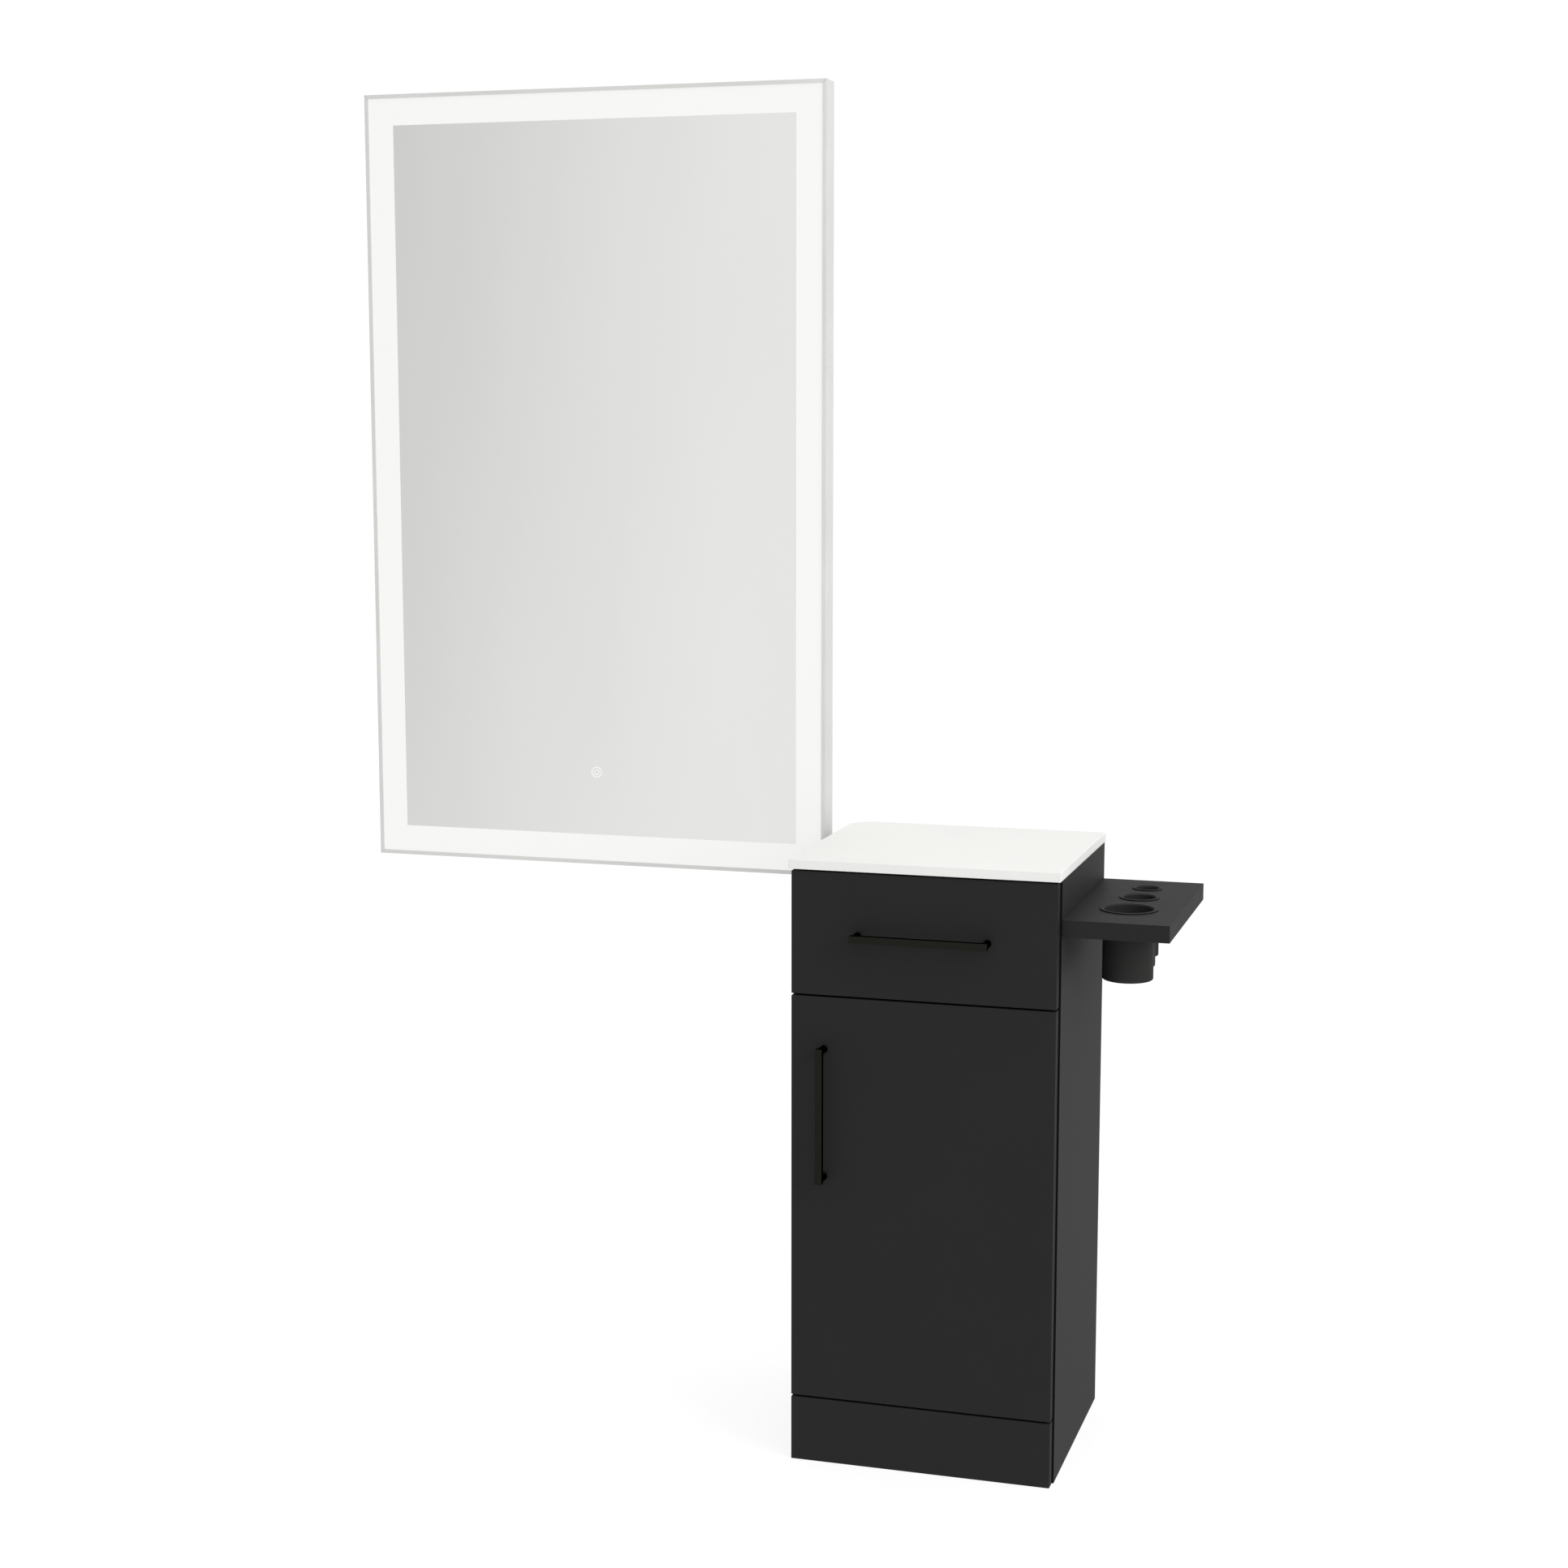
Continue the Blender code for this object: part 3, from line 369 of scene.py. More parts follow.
def zinc():
    """Zinc-plated steel: bluish, cloudy, with fine rolling marks."""
    made = Surface("zinc_plated_steel", metallic=1.0)
    clouds = made.noise(scale=60.0, detail=5.0)
    colour = made.ramp(clouds, dark=(0.50, 0.51, 0.53), light=(0.58, 0.59, 0.60))
    rolled = made.noise(scale=1400.0, detail=3.0, stretch=(1.0, 0.04, 1.0))
    roughness = made.span(made.noise(scale=160.0, detail=5.0), low=0.26, high=0.42)
    return made.finish(colour, roughness, made.relief(rolled, distance=0.01 * MM))


def galvanised():
    """Hot-dip galvanised sheet with its crystal spangle."""
    made = Surface("galvanised_sheet", metallic=0.9)
    spangle = made.parts(made.cells(scale=95.0))
    small = made.parts(made.cells(scale=230.0))
    base = made.ramp(
        spangle["Red"], dark=(0.45, 0.46, 0.475), light=(0.52, 0.53, 0.54), start=0.0, end=1.0
    )
    small_share = made.span(small["Green"], low=0.0, high=0.5, start=0.0, end=1.0)
    colour = made.mixed(small_share, base, second=(0.485, 0.495, 0.505))
    roughness = made.span(spangle["Blue"], low=0.34, high=0.46, start=0.0, end=1.0)
    dimples = made.relief(made.noise(scale=300.0, detail=4.0), distance=0.02 * MM)
    return made.finish(colour, roughness, dimples)


def cleat_metal():
    """Mill-finish steel of the hanging rails, drawn along X."""
    made = Surface("drawn_steel_rail", metallic=1.0)
    drawn = made.noise(scale=900.0, detail=4.0, stretch=(0.01, 1.0, 1.0))
    colour = made.ramp(drawn, dark=(0.60, 0.61, 0.62), light=(0.72, 0.73, 0.74))
    roughness = made.span(made.noise(scale=50.0, detail=4.0), low=0.28, high=0.40)
    return made.finish(colour, roughness, made.relief(drawn, distance=0.02 * MM))


def plain_plastic(name, dark, light):
    """A moulded plastic with fine grain."""
    made = Surface(name, specular=0.4)
    colour = made.ramp(made.noise(scale=400.0, detail=4.0), dark, light)
    roughness = made.span(made.noise(scale=80.0, detail=4.0), low=0.42, high=0.56)
    grain = made.relief(made.noise(scale=900.0, detail=2.0), distance=0.03 * MM)
    return made.finish(colour, roughness, grain)


def led_tape():
    """The LED tape's glowing face."""
    made = Surface("led_tape", specular=0.3)
    made.glow(colour=(1.0, 0.98, 0.93), strength=1.0)
    colour = made.ramp(made.noise(scale=700.0), dark=(0.75, 0.74, 0.66), light=(0.85, 0.84, 0.78))
    return made.finish(colour, made.span(made.noise(scale=200.0), low=0.4, high=0.55))


def bumper_rubber():
    """Soft grey rubber of the door and drawer bumpers."""
    made = Surface("bumper_rubber", specular=0.5)
    clouds = made.noise(scale=500.0, detail=3.0)
    colour = made.ramp(clouds, dark=(0.3, 0.3, 0.3), light=(0.38, 0.38, 0.37))
    return made.finish(colour, made.span(made.noise(scale=200.0), low=0.2, high=0.35))


LOOKS = {
    "black_board": black_board("matte_black_melamine"),
    # the same board with painted shade on its front-facing faces
    "front_shaded_board": black_board("matte_black_melamine_front_shaded", paint_front_shade=True),
    "grey_board": grey_board(),
    "white_top": white_top(),
    "plated_pull": plated_pull(),
    "moulded_black": moulded_black(),
    "satin_frame": satin_frame(),
    "frosted": frosted_band(),
    "mirror": silvered_glass(),
    "mark": lit_mark(),
    "zinc": zinc(),
    "galvanised": galvanised(),
    "cleat": cleat_metal(),
    "white_plastic": plain_plastic("white_plastic", dark=(0.62, 0.62, 0.6), light=(0.7, 0.7, 0.68)),
    "black_plastic": plain_plastic("gland_plastic", dark=(0.012, 0.012, 0.012), light=(0.02, 0.02, 0.02)),
    "led": led_tape(),
    "rubber": bumper_rubber(),
}


def look_of(node):
    """The look of a CAD node, by its name."""
    for look, boards in BOARD_LOOKS.items():
        if node in boards:
            return look
    for part, look in GROUP_LOOKS.items():
        if part in node:
            return look
    return NODE_LOOKS.get(node, FITTING_LOOK)


def dress_frame():
    """Gives every CAD node its material, and smooth shading on its round faces."""
    for name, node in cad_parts.items():
        look = look_of(name)
        node.data.materials.clear()
        node.data.materials.append(LOOKS[look])
        if node.data.attributes.get("custom_normal"):
            node.data.attributes.remove(node.data.attributes["custom_normal"])
        node.data.shade_smooth()
        weld = node.modifiers.new("weld", "WELD")
        weld.merge_threshold = WELD_REACH
        split = node.modifiers.new("sharp_edges", "EDGE_SPLIT")
        split.split_angle = math.radians(NODE_SHARP_ANGLE)
        flat = node.modifiers.new("flat_faces", "WEIGHTED_NORMAL")
        flat.mode = "FACE_AREA"
        flat.weight = FLAT_WEIGHT


# ---------------------------------------------------------------- mesh tools

def mesh_object(name, work):
    """A scene object that holds the finished mesh work."""
    mesh = bpy.data.meshes.new(name)
    work.to_mesh(mesh)
    work.free()
    made = bpy.data.objects.new(name, mesh)
    bpy.context.scene.collection.objects.link(made)
    return made


def piece(name, work, look, body):
    """A finished mesh piece that rides on a body."""
    bmesh.ops.recalc_face_normals(work, faces=work.faces)
    made = mesh_object(name, work)
    made.data.shade_smooth()
    made.data.set_sharp_from_angle(angle=math.radians(PIECE_SHARP_ANGLE))
    made.data.materials.append(LOOKS[look])
    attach(made, body)
    return made


def arc(centre, radius, start, end, steps):
    """Points round part of a circle; angles in degrees."""
    points = []
    for step in range(steps + 1):
        angle = math.radians(start + (end - start) * step / steps)
        points.append((centre[0] + radius * math.cos(angle), centre[1] + radius * math.sin(angle)))
    return points


def standing(place, out):
    """The matrix that takes +Z to the direction `out`, at a place."""
    return Matrix.Translation(place) @ UP.rotation_difference(out).to_matrix().to_4x4()


def lathe(work, profile, place, out=UP, sides=48, closed=False):
    """Turns (radius, height) points about the axis through a place; a closed profile makes a ring."""
    matrix = standing(place, out)
    rings = []
    for radius, height in profile:
        if radius == 0:
            rings.append([work.verts.new(matrix @ Vector((0, 0, height)))])
            continue
        turns = [2 * math.pi * step / sides for step in range(sides)]
        points = [Vector((radius * math.cos(turn), radius * math.sin(turn), height)) for turn in turns]
        rings.append([work.verts.new(matrix @ point) for point in points])
    pairs = list(zip(rings, rings[1:]))
    if closed:
        pairs.append((rings[-1], rings[0]))
    for lower, upper in pairs:
        for step in range(sides):
            after = (step + 1) % sides
            corners = [
                lower[step % len(lower)], lower[after % len(lower)],
                upper[after % len(upper)], upper[step % len(upper)],
            ]
            work.faces.new(list(dict.fromkeys(corners)))


def block(work, low, high):
    """A box between two corners."""
    size = Vector(high) - Vector(low)
    centre = (Vector(high) + Vector(low)) / 2
    matrix = Matrix.Translation(centre) @ Matrix.Diagonal((*size, 1))
    bmesh.ops.create_cube(work, size=1.0, matrix=matrix)


SCREW_HEIGHT = 0.52                 # of the pattern's head, whose radius is 1
RECESS_LONG = 0.52
RECESS_SHORT = 0.13
RECESS_FLOOR = 0.2


def screw_blank():
    """The pattern's pan head before its recess is cut."""
    work = bmesh.new()
    profile = [(0, 0), (0.94, 0), (1.0, 0.1)]
    profile += arc((0.62, 0.12), radius=0.38, start=0, end=90, steps=5)
    profile += [(0.3, 0.515), (0, SCREW_HEIGHT)]
    lathe(work, profile, Vector((0, 0, 0)), sides=32)
    bmesh.ops.recalc_face_normals(work, faces=work.faces)
    return mesh_object("screw_pattern", work)


def screw_pattern():
    """The mesh of a pan head of radius 1 with a cross recess, standing on z = 0."""
    head = screw_blank()
    cutters = []
    for turn, long, short in ((0, RECESS_LONG, RECESS_SHORT), (90, RECESS_SHORT, RECESS_LONG)):
        slot = bmesh.new()
        block(slot, (-long, -short, RECESS_FLOOR), (long, short, 1.0))
        cutter = mesh_object(f"recess_{turn}", slot)
        boolean = head.modifiers.new(f"recess_{turn}", "BOOLEAN")
        boolean.object = cutter
        boolean.operation = "DIFFERENCE"
        cutters.append(cutter)
    bpy.context.view_layer.update()
    graph = bpy.context.evaluated_depsgraph_get()
    cut = bpy.data.meshes.new_from_object(head.evaluated_get(graph))
    for spare in [head, *cutters]:
        bpy.data.objects.remove(spare)
    return cut


SCREW = screw_pattern()


def stamp_screw(work, place, out, radius, height, turn):
    """Adds one screw head, its underside at a place, turned by an angle in radians."""
    before = set(work.verts)
    work.from_mesh(SCREW)
    fresh = [vert for vert in work.verts if vert not in before]
    shape = Matrix.Rotation(turn, 4, "Z") @ Matrix.Diagonal((radius, radius, height / SCREW_HEIGHT, 1))
    bmesh.ops.transform(work, matrix=standing(place, out) @ shape, verts=fresh)


def screws(name, places, out, radius, height, body):
    """A group of identical zinc-plated screw heads, each turned a little differently."""
    first_turn, turn_step = 0.7, 1.9
    work = bmesh.new()
    for index, place in enumerate(places):
        stamp_screw(work, Vector(place), out, radius, height, turn=first_turn + turn_step * index)
    piece(name, work, "zinc", body)


# ---------------------------------------------------------------- stage

def build_camera():
    """The camera, to the right of the station and above its middle."""
    data = bpy.data.cameras.new("camera")
    data.lens = CAMERA_LENS
    data.sensor_width = CAMERA_SENSOR
    made = bpy.data.objects.new("camera", data)
    bpy.context.scene.collection.objects.link(made)
    made.location = CAMERA_PLACE
    made.rotation_euler = (math.radians(CAMERA_TILT), 0, math.radians(CAMERA_TURN))
    bpy.context.scene.camera = made


def stage_material(name, colour, glow):
    """A matte material that gives off some white light."""
    made = bpy.data.materials.new(name)
    made.use_nodes = True
    shader = made.node_tree.nodes["Principled BSDF"]
    shader.inputs["Base Color"].default_value = (*colour, 1)
    shader.inputs["Roughness"].default_value = 0.9
    shader.inputs["Specular IOR Level"].default_value = 0.1
    shader.inputs["Emission Color"].default_value = (1, 1, 1, 1)
    shader.inputs["Emission Strength"].default_value = glow
    return made


def build_stage():
    """A pale round floor, and a white backdrop dome that only the camera sees."""
    work = bmesh.new()
    bmesh.ops.create_circle(work, cap_ends=True, segments=128, radius=FLOOR_RADIUS)
    floor = mesh_object("floor", work)
    floor.location = (0, 0, -FLOOR_DROP)
    floor.visible_glossy = False
    floor.data.materials.append(stage_material("pale_floor", FLOOR_COLOUR, FLOOR_GLOW))
    work = bmesh.new()
    bmesh.ops.create_icosphere(work, subdivisions=3, radius=DOME_RADIUS)
    dome = mesh_object("backdrop", work)
    dome.data.materials.append(stage_material("white_backdrop", DOME_COLOUR, DOME_GLOW))
    dome.visible_diffuse = False
    dome.visible_glossy = False
    dome.visible_transmission = False
    dome.visible_shadow = False


def fall_strength(tree, place, fall):
    """The output that holds the light's strength along one direction of the world's fall."""
    direction, from_low, from_high, low, high = fall
    along = tree.nodes.new("ShaderNodeVectorMath")
    along.operation = "DOT_PRODUCT"
    along.inputs[1].default_value = direction
    tree.links.new(place, along.inputs[0])
    span = tree.nodes.new("ShaderNodeMapRange")
    span.interpolation_type = "SMOOTHSTEP"
    numbers = (("From Min", from_low), ("From Max", from_high), ("To Min", low), ("To Max", high))
    for socket, number in numbers:
        span.inputs[socket].default_value = number
    tree.links.new(along.outputs["Value"], span.inputs["Value"])
    return span.outputs["Result"]


def build_world():
    """Soft room light: strongest from above, weaker from the left, the wall side and below."""
    world = bpy.data.worlds.new("studio")
    bpy.context.scene.world = world
    world.use_nodes = True
    tree = world.node_tree
    background = tree.nodes["Background"]
    background.inputs["Color"].default_value = WORLD_TINT
    place = tree.nodes.new("ShaderNodeTexCoord").outputs["Generated"]
    strengths = [fall_strength(tree, place, fall) for fall in WORLD_FALL]
    whole = strengths[0]
    for strength in strengths[1:]:
        product = tree.nodes.new("ShaderNodeMath")
        product.operation = "MULTIPLY"
        tree.links.new(whole, product.inputs[0])
        tree.links.new(strength, product.inputs[1])
        whole = product.outputs["Value"]
    tree.links.new(whole, background.inputs["Strength"])


def build_light(name, place, target, size, power):
    """A square soft light that lights the station but isn't mirrored in it."""
    data = bpy.data.lights.new(name, "AREA")
    data.shape = "SQUARE"
    data.size = size
    data.energy = power
    made = bpy.data.objects.new(name, data)
    bpy.context.scene.collection.objects.link(made)
    made.location = place
    aim = Vector(target) - Vector(place)
    made.rotation_euler = aim.to_track_quat("-Z", "Y").to_euler()
    made.visible_glossy = False


def build_studio():
    bpy.context.scene.view_settings.view_transform = "Standard"
    build_camera()
    build_stage()
    build_world()
    build_light("key", place=(5.25, -2.4, 3.5), target=(0.3, 0.0, 0.8), size=3.6, power=169)
    build_light("overhead", place=(0.2, -0.7, 4.6), target=(0.0, 0.0, 0.4), size=3.2, power=15)


# ---------------------------------------------------------------- tool cups

CUP_FLANGES = {"large": 5.0 * MM, "medium": 4.3 * MM, "small": 3.9 * MM}
CUP_WALL = 1.8 * MM
CUP_FLANGE_THICK = 1.7 * MM
CUP_SEAT_GAP = 0.1 * MM             # between the flange and the shelf
CUP_RIM_THICK = 0.8 * MM            # the flange's thinner outer rim
CUP_RIM_WIDTH = 1.6 * MM
CUP_RIM_ROUND = 0.4 * MM
CUP_MOUTH_ROUND = 3.0 * MM
CUP_FOOT_ROUND = 2.2 * MM
CUP_DISH = 0.6 * MM                 # hollow under the foot
CUP_DISH_SHARES = (0.72, 0.76)      # of the radius, where the hollow's slope starts and ends
CUP_BOSS = 0.5 * MM                 # raised disc in the middle of the floor
CUP_BOSS_SHARES = (0.3, 0.27)       # of the inner radius, where the disc's slope starts and ends


def cup_outline(flange, radius, seat):
    """A cup's (radius, height) points, from under its foot over the flange to its floor."""
    top = seat + CUP_FLANGE_THICK
    inner = radius - CUP_WALL
    dish_flat, dish_edge = (radius * share for share in CUP_DISH_SHARES)
    boss_edge, boss_flat = (inner * share for share in CUP_BOSS_SHARES)
    rim = top - CUP_RIM_THICK
    floor = CUP_WALL + CUP_FOOT_ROUND
    outline = [(0, CUP_DISH), (dish_flat, CUP_DISH), (dish_edge, 0)]
    outline += arc((radius - CUP_FOOT_ROUND, CUP_FOOT_ROUND), CUP_FOOT_ROUND, start=-90, end=0, steps=8)
    outline += [(radius, seat), (flange - CUP_RIM_WIDTH, seat), (flange - CUP_RIM_WIDTH, rim), (flange, rim)]
    outline += arc((flange - CUP_RIM_ROUND, top - CUP_RIM_ROUND), CUP_RIM_ROUND, start=0, end=90, steps=5)
    outline += arc(
        (inner + CUP_MOUTH_ROUND, top - CUP_MOUTH_ROUND), CUP_MOUTH_ROUND, start=90, end=180, steps=10
    )
    outline += arc((inner - CUP_FOOT_ROUND, floor), CUP_FOOT_ROUND, start=0, end=-90, steps=8)
    outline += [(boss_edge, CUP_WALL), (boss_flat, CUP_WALL + CUP_BOSS), (0, CUP_WALL + CUP_BOSS)]
    return outline


def build_tool_cups():
    """Moulded cups that hang by a thin flat flange, their mouths softly rounded."""
    shelf_top = extent("tool_shelf")[1].z
    for size, flange_width in CUP_FLANGES.items():
        node = f"tool_cup_{size}"
        low, high, centre = extent(node)
        flange = (high.x - low.x) / 2
        outline = cup_outline(flange, flange - flange_width, shelf_top + CUP_SEAT_GAP - low.z)
        work = bmesh.new()
        lathe(work, outline, Vector((centre.x, centre.y, low.z)), sides=112)
        cup = piece(f"{node}_moulded", work, "moulded_black", node)
        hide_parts(node)


# ---------------------------------------------------------------- cabinet

def build_pull_screws():
    """Heads of the screws that hold the pulls, inside the door and inside the drawer."""
    door_back = extent("door_panel")[1].y
    box_back = extent("drawer_box_front")[1].y
    door_posts = [extent(f"door_pull_post_{end}")[2] for end in ("lower", "upper")]
    drawer_posts = [extent(f"drawer_pull_post_{end}")[2] for end in ("left", "right")]
    door_places = [(post.x, door_back, post.z) for post in door_posts]
    drawer_places = [(post.x, box_back, post.z) for post in drawer_posts]
    screws("door_pull_screws", door_places, BACK, radius=3.9 * MM, height=1.7 * MM, body="door")
    screws("drawer_pull_screws", drawer_places, BACK, radius=3.9 * MM, height=2.2 * MM, body="drawer")


def build_hinge_screws():
    """Wood screws of the hinge cups' ears and arm plates, and the arms' two adjusting screws."""
    ear_shift, ear_reach = 2 * MM, 21 * MM
    plate_sink, plate_depth, plate_reach = 2 * MM, 25 * MM, 17 * MM
    adjuster_depths = (14 * MM, 34 * MM)
    ears, plates, adjusters = [], [], []
    for level in ("upper", "lower"):
        _, cup_high, cup = extent(f"hinge_cup_{level}")
        arm_low, arm_high, arm = extent(f"hinge_arm_{level}")
        for side in (-1, 1):
            ears.append((cup.x + ear_shift, cup_high.y, cup.z + side * ear_reach))
            plates.append((arm_high.x - plate_sink, arm_high.y - plate_depth, arm.z + side * plate_reach))
        for depth in adjuster_depths:
            adjusters.append((arm_low.x, arm_high.y - depth, arm.z))
    screws("hinge_cup_screws", ears, BACK, radius=3.1 * MM, height=0.65 * MM, body="door")
    screws("hinge_plate_screws", plates, LEFT, radius=3.7 * MM, height=1.8 * MM, body="cabinet")
    screws("hinge_adjusting_screws", adjusters, LEFT, radius=3.3 * MM, height=1.2 * MM, body="cabinet")


def build_bumpers():
    """Soft domes that cushion the door and the drawer front against the carcass."""
    dome = [
        (0, 0), (3.6 * MM, 0), (4.0 * MM, 0.3 * MM), (3.2 * MM, 1.1 * MM), (1.6 * MM, 1.5 * MM),
        (0, 1.6 * MM),
    ]
    inset = 14 * MM
    panel_low, panel_high, _ = extent("side_panel_left")
    x = (max(panel_low.x, extent("door_panel")[0].x) + panel_high.x) / 2
    fronts = {"door_bumpers": ("door_panel", "door"), "drawer_bumpers": ("drawer_front", "drawer")}
    for name, (node, body) in fronts.items():
        low, high, _ = extent(node)
        work = bmesh.new()
        for z in (low.z + inset, high.z - inset):
            lathe(work, dome, Vector((x, high.y, z)), BACK, sides=24)
        piece(name, work, "rubber", body)


def build_shelf_holes():
    """Sleeves in the two rows of shelf holes on each side panel, and collars on the shelf pins."""
    pitch = 32 * MM
    holes_below, holes_above = 3, 4
    bore = 2.6 * MM
    sleeve = [(bore, 0), (3.6 * MM, 0), (3.5 * MM, 0.35 * MM), (2.8 * MM, 0.4 * MM), (bore, 0.3 * MM)]
    collar = [(bore, 0), (4.2 * MM, 0), (4.2 * MM, 0.7 * MM), (3.9 * MM, 1.0 * MM), (bore, 1.0 * MM)]
    sleeves, collars = bmesh.new(), bmesh.new()
    for side, out in (("left", RIGHT), ("right", LEFT)):
        panel_low, panel_high, _ = extent(f"side_panel_{side}")
        face = panel_high.x if side == "left" else panel_low.x
        for row in ("front", "rear"):
            pin = extent(f"shelf_pin_{side}_{row}")[2]
            lathe(collars, collar, Vector((face, pin.y, pin.z)), out, sides=24, closed=True)
            for count in range(-holes_below, holes_above + 1):
                if count:
                    place = Vector((face, pin.y, pin.z + count * pitch))
                    lathe(sleeves, sleeve, place, out, sides=20, closed=True)
    piece("shelf_hole_sleeves", sleeves, "black_plastic", "cabinet")
    piece("shelf_pin_collars", collars, "zinc", "cabinet")


def build_ball_cage(side):
    """A slide's ball cage: a strip above and below its middle member, each with a row of balls."""
    ball_radius, ball_pitch, ball_count = 0.75 * MM, 13 * MM, 9
    first_ball, row_gap = 12 * MM, 0.9 * MM
    strip_start, strip_end = 6 * MM, 122 * MM
    half_width, half_thick = 1.6 * MM, 0.2 * MM
    low, high, centre = extent(f"drawer_slide_middle_{side}")
    work = bmesh.new()
    for z in (high.z + row_gap, low.z - row_gap):
        for count in range(ball_count):
            matrix = Matrix.Translation((centre.x, high.y - first_ball - count * ball_pitch, z))
            bmesh.ops.create_icosphere(work, subdivisions=2, radius=ball_radius, matrix=matrix)
        strip_low = (centre.x - half_width, high.y - strip_end, z - half_thick)
        strip_high = (centre.x + half_width, high.y - strip_start, z + half_thick)
        block(work, strip_low, strip_high)
    piece(f"slide_ball_cage_{side}", work, "zinc", f"slide_middle_{side}")


def build_slide_screws(side):
    """Screws through a slide's inner member into the drawer's side."""
    web_thick = 1.2 * MM
    low, high, centre = extent(f"drawer_slide_inner_{side}")
    web, out = (high.x - web_thick, LEFT) if side == "left" else (low.x + web_thick, RIGHT)
    places = [(web, low.y + along, centre.z) for along in (30 * MM, 150 * MM, 270 * MM)]
    screws(f"slide_screws_{side}", places, out, radius=3.4 * MM, height=1.2 * MM, body="drawer")


def build_slide_parts():
    for side in ("left", "right"):
        build_ball_cage(side)
        build_slide_screws(side)


def build_wall_screws():
    """Washered screws that hold the cabinet's rail to the wall, and flush ones in the mirror's cleat."""
    bore, washer_thick = 2.4 * MM, 1.2 * MM
    washer = [(bore, 0), (7.5 * MM, 0), (7.5 * MM, 0.8 * MM), (7.0 * MM, washer_thick), (bore, washer_thick)]
    inset = 70 * MM
    turn_rate = 9                   # radians per metre of x, so that no two slots line up
    face = extent("back_panel")[0].y
    rail_low, rail_high, rail = extent("wall_rail")
    work = bmesh.new()
    for x in (rail_low.x + inset, rail_high.x - inset):
        lathe(work, washer, Vector((x, face, rail.z)), FRONT, sides=32, closed=True)
        head = Vector((x, face - washer_thick, rail.z))
        stamp_screw(work, head, FRONT, radius=4.6 * MM, height=2.4 * MM, turn=x * turn_rate)
    piece("cabinet_wall_screws", work, "zinc", "cabinet")
    cleat_height, cleat_pitch = 14 * MM, 110 * MM
    low, _, centre = extent("wall_cleat")
    z = low.z + cleat_height
    places = [(centre.x + count * cleat_pitch, low.y, z) for count in (-2, -1, 0, 1, 2)]
    screws("cleat_screws", places, FRONT, radius=4.4 * MM, height=0.9 * MM, body="cabinet")


def build_cam_caps():
    """Plastic caps over the connectors that pull the side panels onto the boards."""
    cap = [
        (0, 0), (8.0 * MM, 0), (8.2 * MM, 0.3 * MM), (7.7 * MM, 0.9 * MM), (6.6 * MM, 1.1 * MM),
        (0, 1.2 * MM),
    ]
    side_inset, end_inset = 34 * MM, 50 * MM
    for name, node, out in (("bottom", "bottom_panel", UP), ("divider", "divider_rail", -UP)):
        low, high, centre = extent(node)
        z = high.z if out == UP else low.z
        depths = (low.y + end_inset, high.y - end_inset) if name == "bottom" else (centre.y,)
        work = bmesh.new()
        for x in (low.x + side_inset, high.x - side_inset):
            for y in depths:
                lathe(work, cap, Vector((x, y, z)), out, sides=32)
        piece(f"cam_caps_{name}", work, "black_plastic", "cabinet")


# ---------------------------------------------------------------- mirror

def strip(work, path, width, front, back):
    """A flat band that follows (x, z) points, standing from y = back out to y = front."""
    points = [Vector(point) for point in path]
    rows = []
    for index, point in enumerate(points):
        before = points[max(index - 1, 0)]
        after = points[min(index + 1, len(points) - 1)]
        along = (after - before).normalized()
        side = Vector((-along.y, along.x)) * width / 2
        corners = (point + side, point - side)
        rows.append([
            work.verts.new((corner.x, y, corner.y)) for corner in corners for y in (front, back)
        ])
    for first, second in zip(rows, rows[1:]):
        for one, two in ((0, 2), (2, 3), (3, 1), (1, 0)):
            work.faces.new((first[one], first[two], second[two], second[one]))
    for row in (rows[0], rows[-1]):
        work.faces.new((row[0], row[2], row[3], row[1]))


def build_touch_mark():
    """The lit switch mark on the glass: a ring round a plain broken circle with a short bar."""
    thick = 0.06 * MM
    ring_inner, ring_outer = 7.5 * MM, 8.7 * MM
    symbol_radius, stroke = 4.0 * MM, 1.1 * MM
    bar_start, bar_end = 0.8 * MM, 5.4 * MM
    sensor = extent("touch_sensor")[2]
    glass = extent("mirror_glass")[0].y
    front = glass - thick
    work = bmesh.new()
    ring = [(ring_inner, 0), (ring_outer, 0), (ring_outer, thick), (ring_inner, thick)]
    lathe(work, ring, Vector((sensor.x, glass, sensor.z)), FRONT, sides=96, closed=True)
    circle = arc((sensor.x, sensor.z), symbol_radius, start=125, end=415, steps=48)
    strip(work, circle, stroke, front, glass)
    bar = [(sensor.x, sensor.z + bar_start), (sensor.x, sensor.z + bar_end)]
    strip(work, bar, stroke, front, glass)
    piece("touch_mark", work, "mark", "mirror")


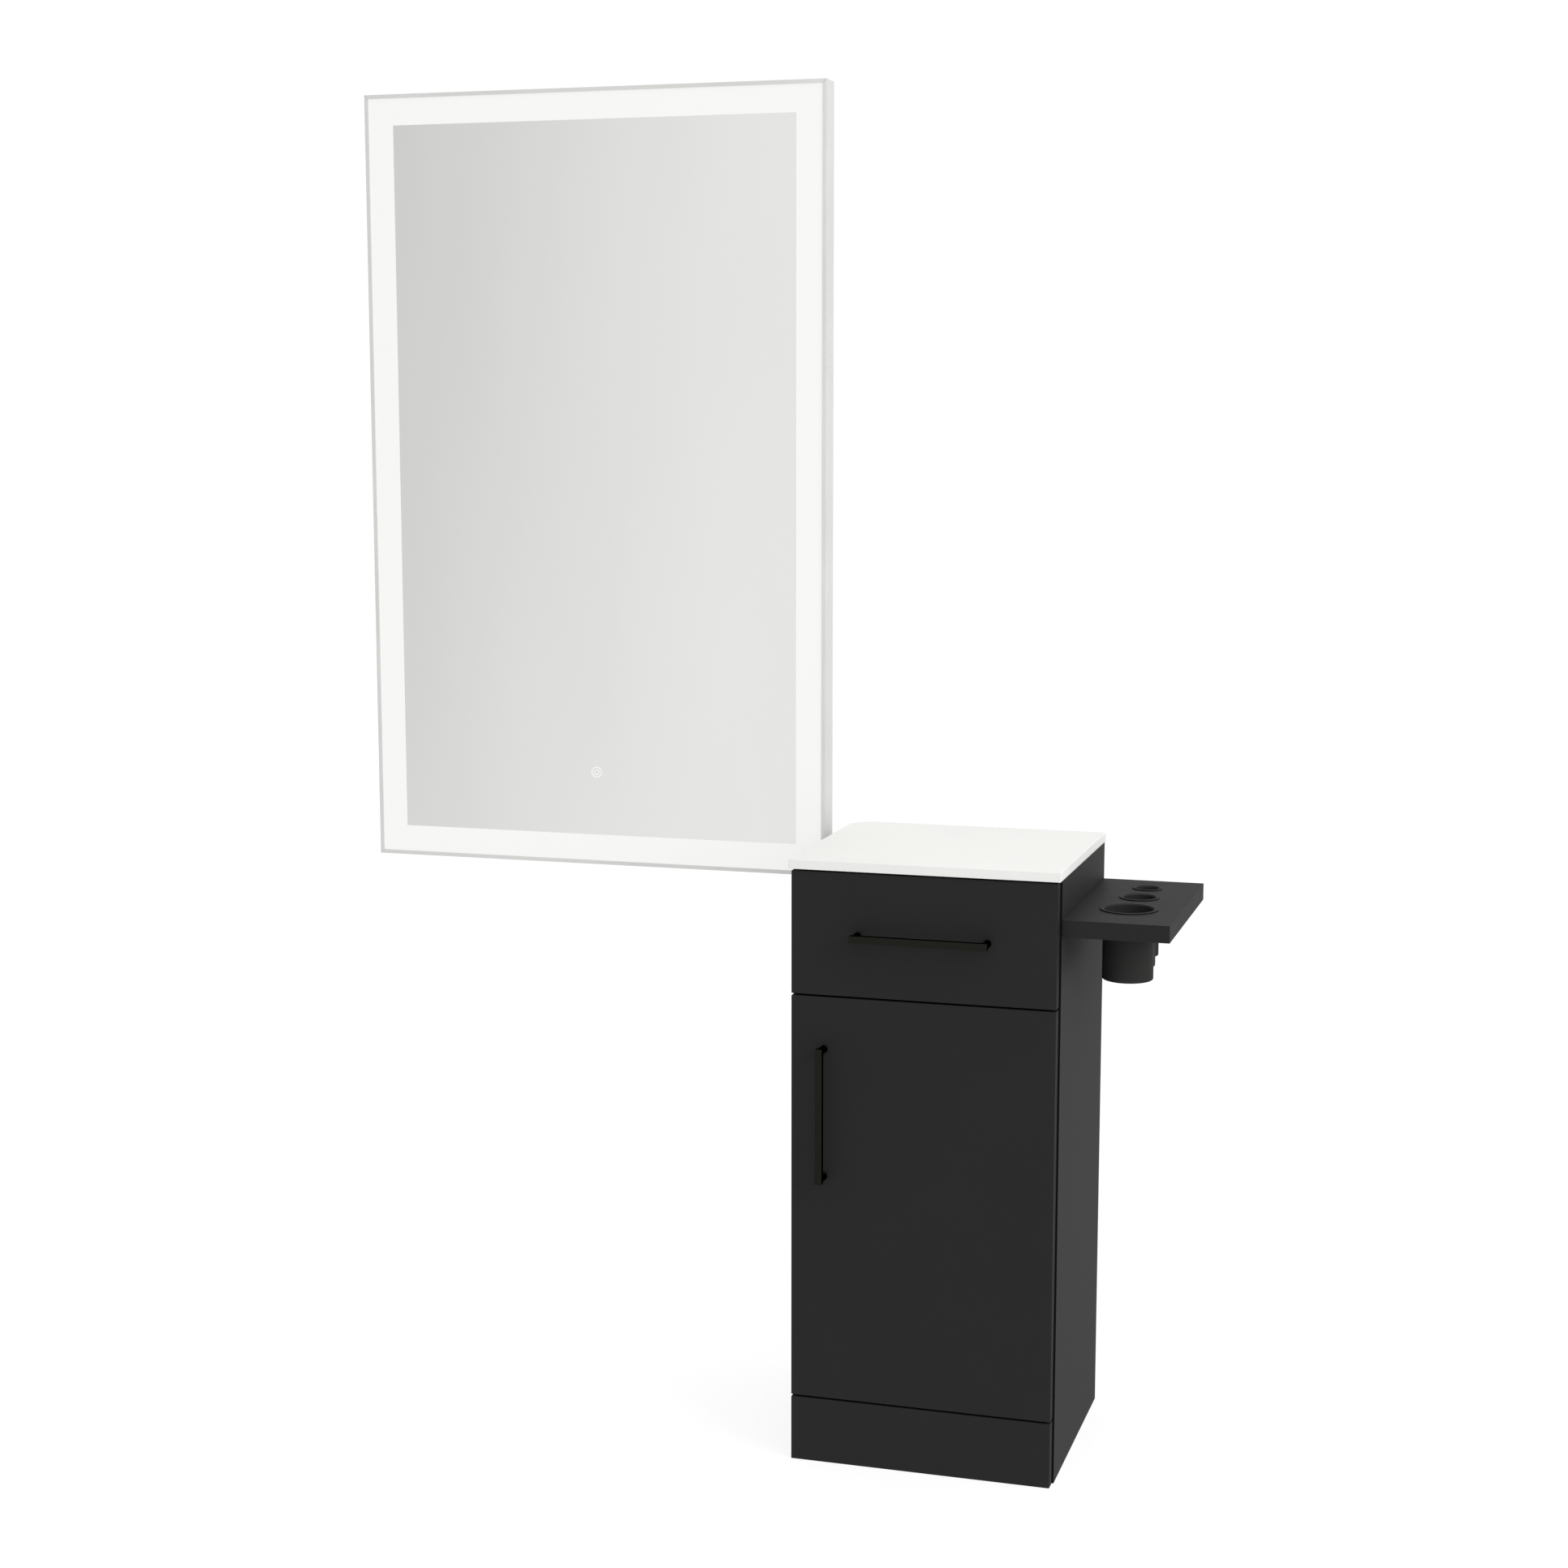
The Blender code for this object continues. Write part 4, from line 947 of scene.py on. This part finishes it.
def build_back_ribs():
    """Pressed stiffening ribs across the back plate, rounded at both ends."""
    section = [(12.0 * MM, 0.0), (9.5 * MM, 1.6 * MM), (6.5 * MM, 3.2 * MM), (3.0 * MM, 4.0 * MM)]
    end_inset = 70 * MM
    low, high, centre = extent("mirror_back_plate")
    reach = (high.x - low.x) / 2 - end_inset
    work = bmesh.new()
    for z in (low.z + 150 * MM, low.z + 480 * MM, high.z - 330 * MM):
        rings = []
        for half_width, height in section:
            outline = arc((centre.x + reach, z), half_width, start=-90, end=90, steps=12)
            outline += arc((centre.x - reach, z), half_width, start=90, end=270, steps=12)
            rings.append([work.verts.new((x, high.y + height, level)) for x, level in outline])
        for lower, upper in zip(rings, rings[1:]):
            for step in range(len(lower)):
                after = (step + 1) % len(lower)
                work.faces.new((lower[step], lower[after], upper[after], upper[step]))
        work.faces.new(rings[-1])
    piece("back_plate_ribs", work, "galvanised", "mirror")


def build_back_rivets():
    """Blind rivets round the edge of the back plate."""
    dome = [
        (0, 0), (3.4 * MM, 0), (3.3 * MM, 0.4 * MM), (2.4 * MM, 1.1 * MM), (1.3 * MM, 1.35 * MM),
        (1.1 * MM, 1.0 * MM), (0, 1.0 * MM),
    ]
    inset = 7 * MM
    steps_across, steps_up = 5, 9
    low, high, _ = extent("mirror_back_plate")
    work = bmesh.new()
    for count in range(steps_across + 1):
        x = low.x + inset + (high.x - low.x - 2 * inset) * count / steps_across
        for z in (low.z + inset, high.z - inset):
            lathe(work, dome, Vector((x, high.y, z)), BACK, sides=20)
    for count in range(1, steps_up):
        z = low.z + inset + (high.z - low.z - 2 * inset) * count / steps_up
        for x in (low.x + inset, high.x - inset):
            lathe(work, dome, Vector((x, high.y, z)), BACK, sides=20)
    piece("back_plate_rivets", work, "zinc", "mirror")


build_studio()
dress_frame()
build_tool_cups()
build_pull_screws()
build_hinge_screws()
build_bumpers()
build_shelf_holes()
build_slide_parts()
build_wall_screws()
build_cam_caps()
build_touch_mark()
build_back_ribs()
build_back_rivets()
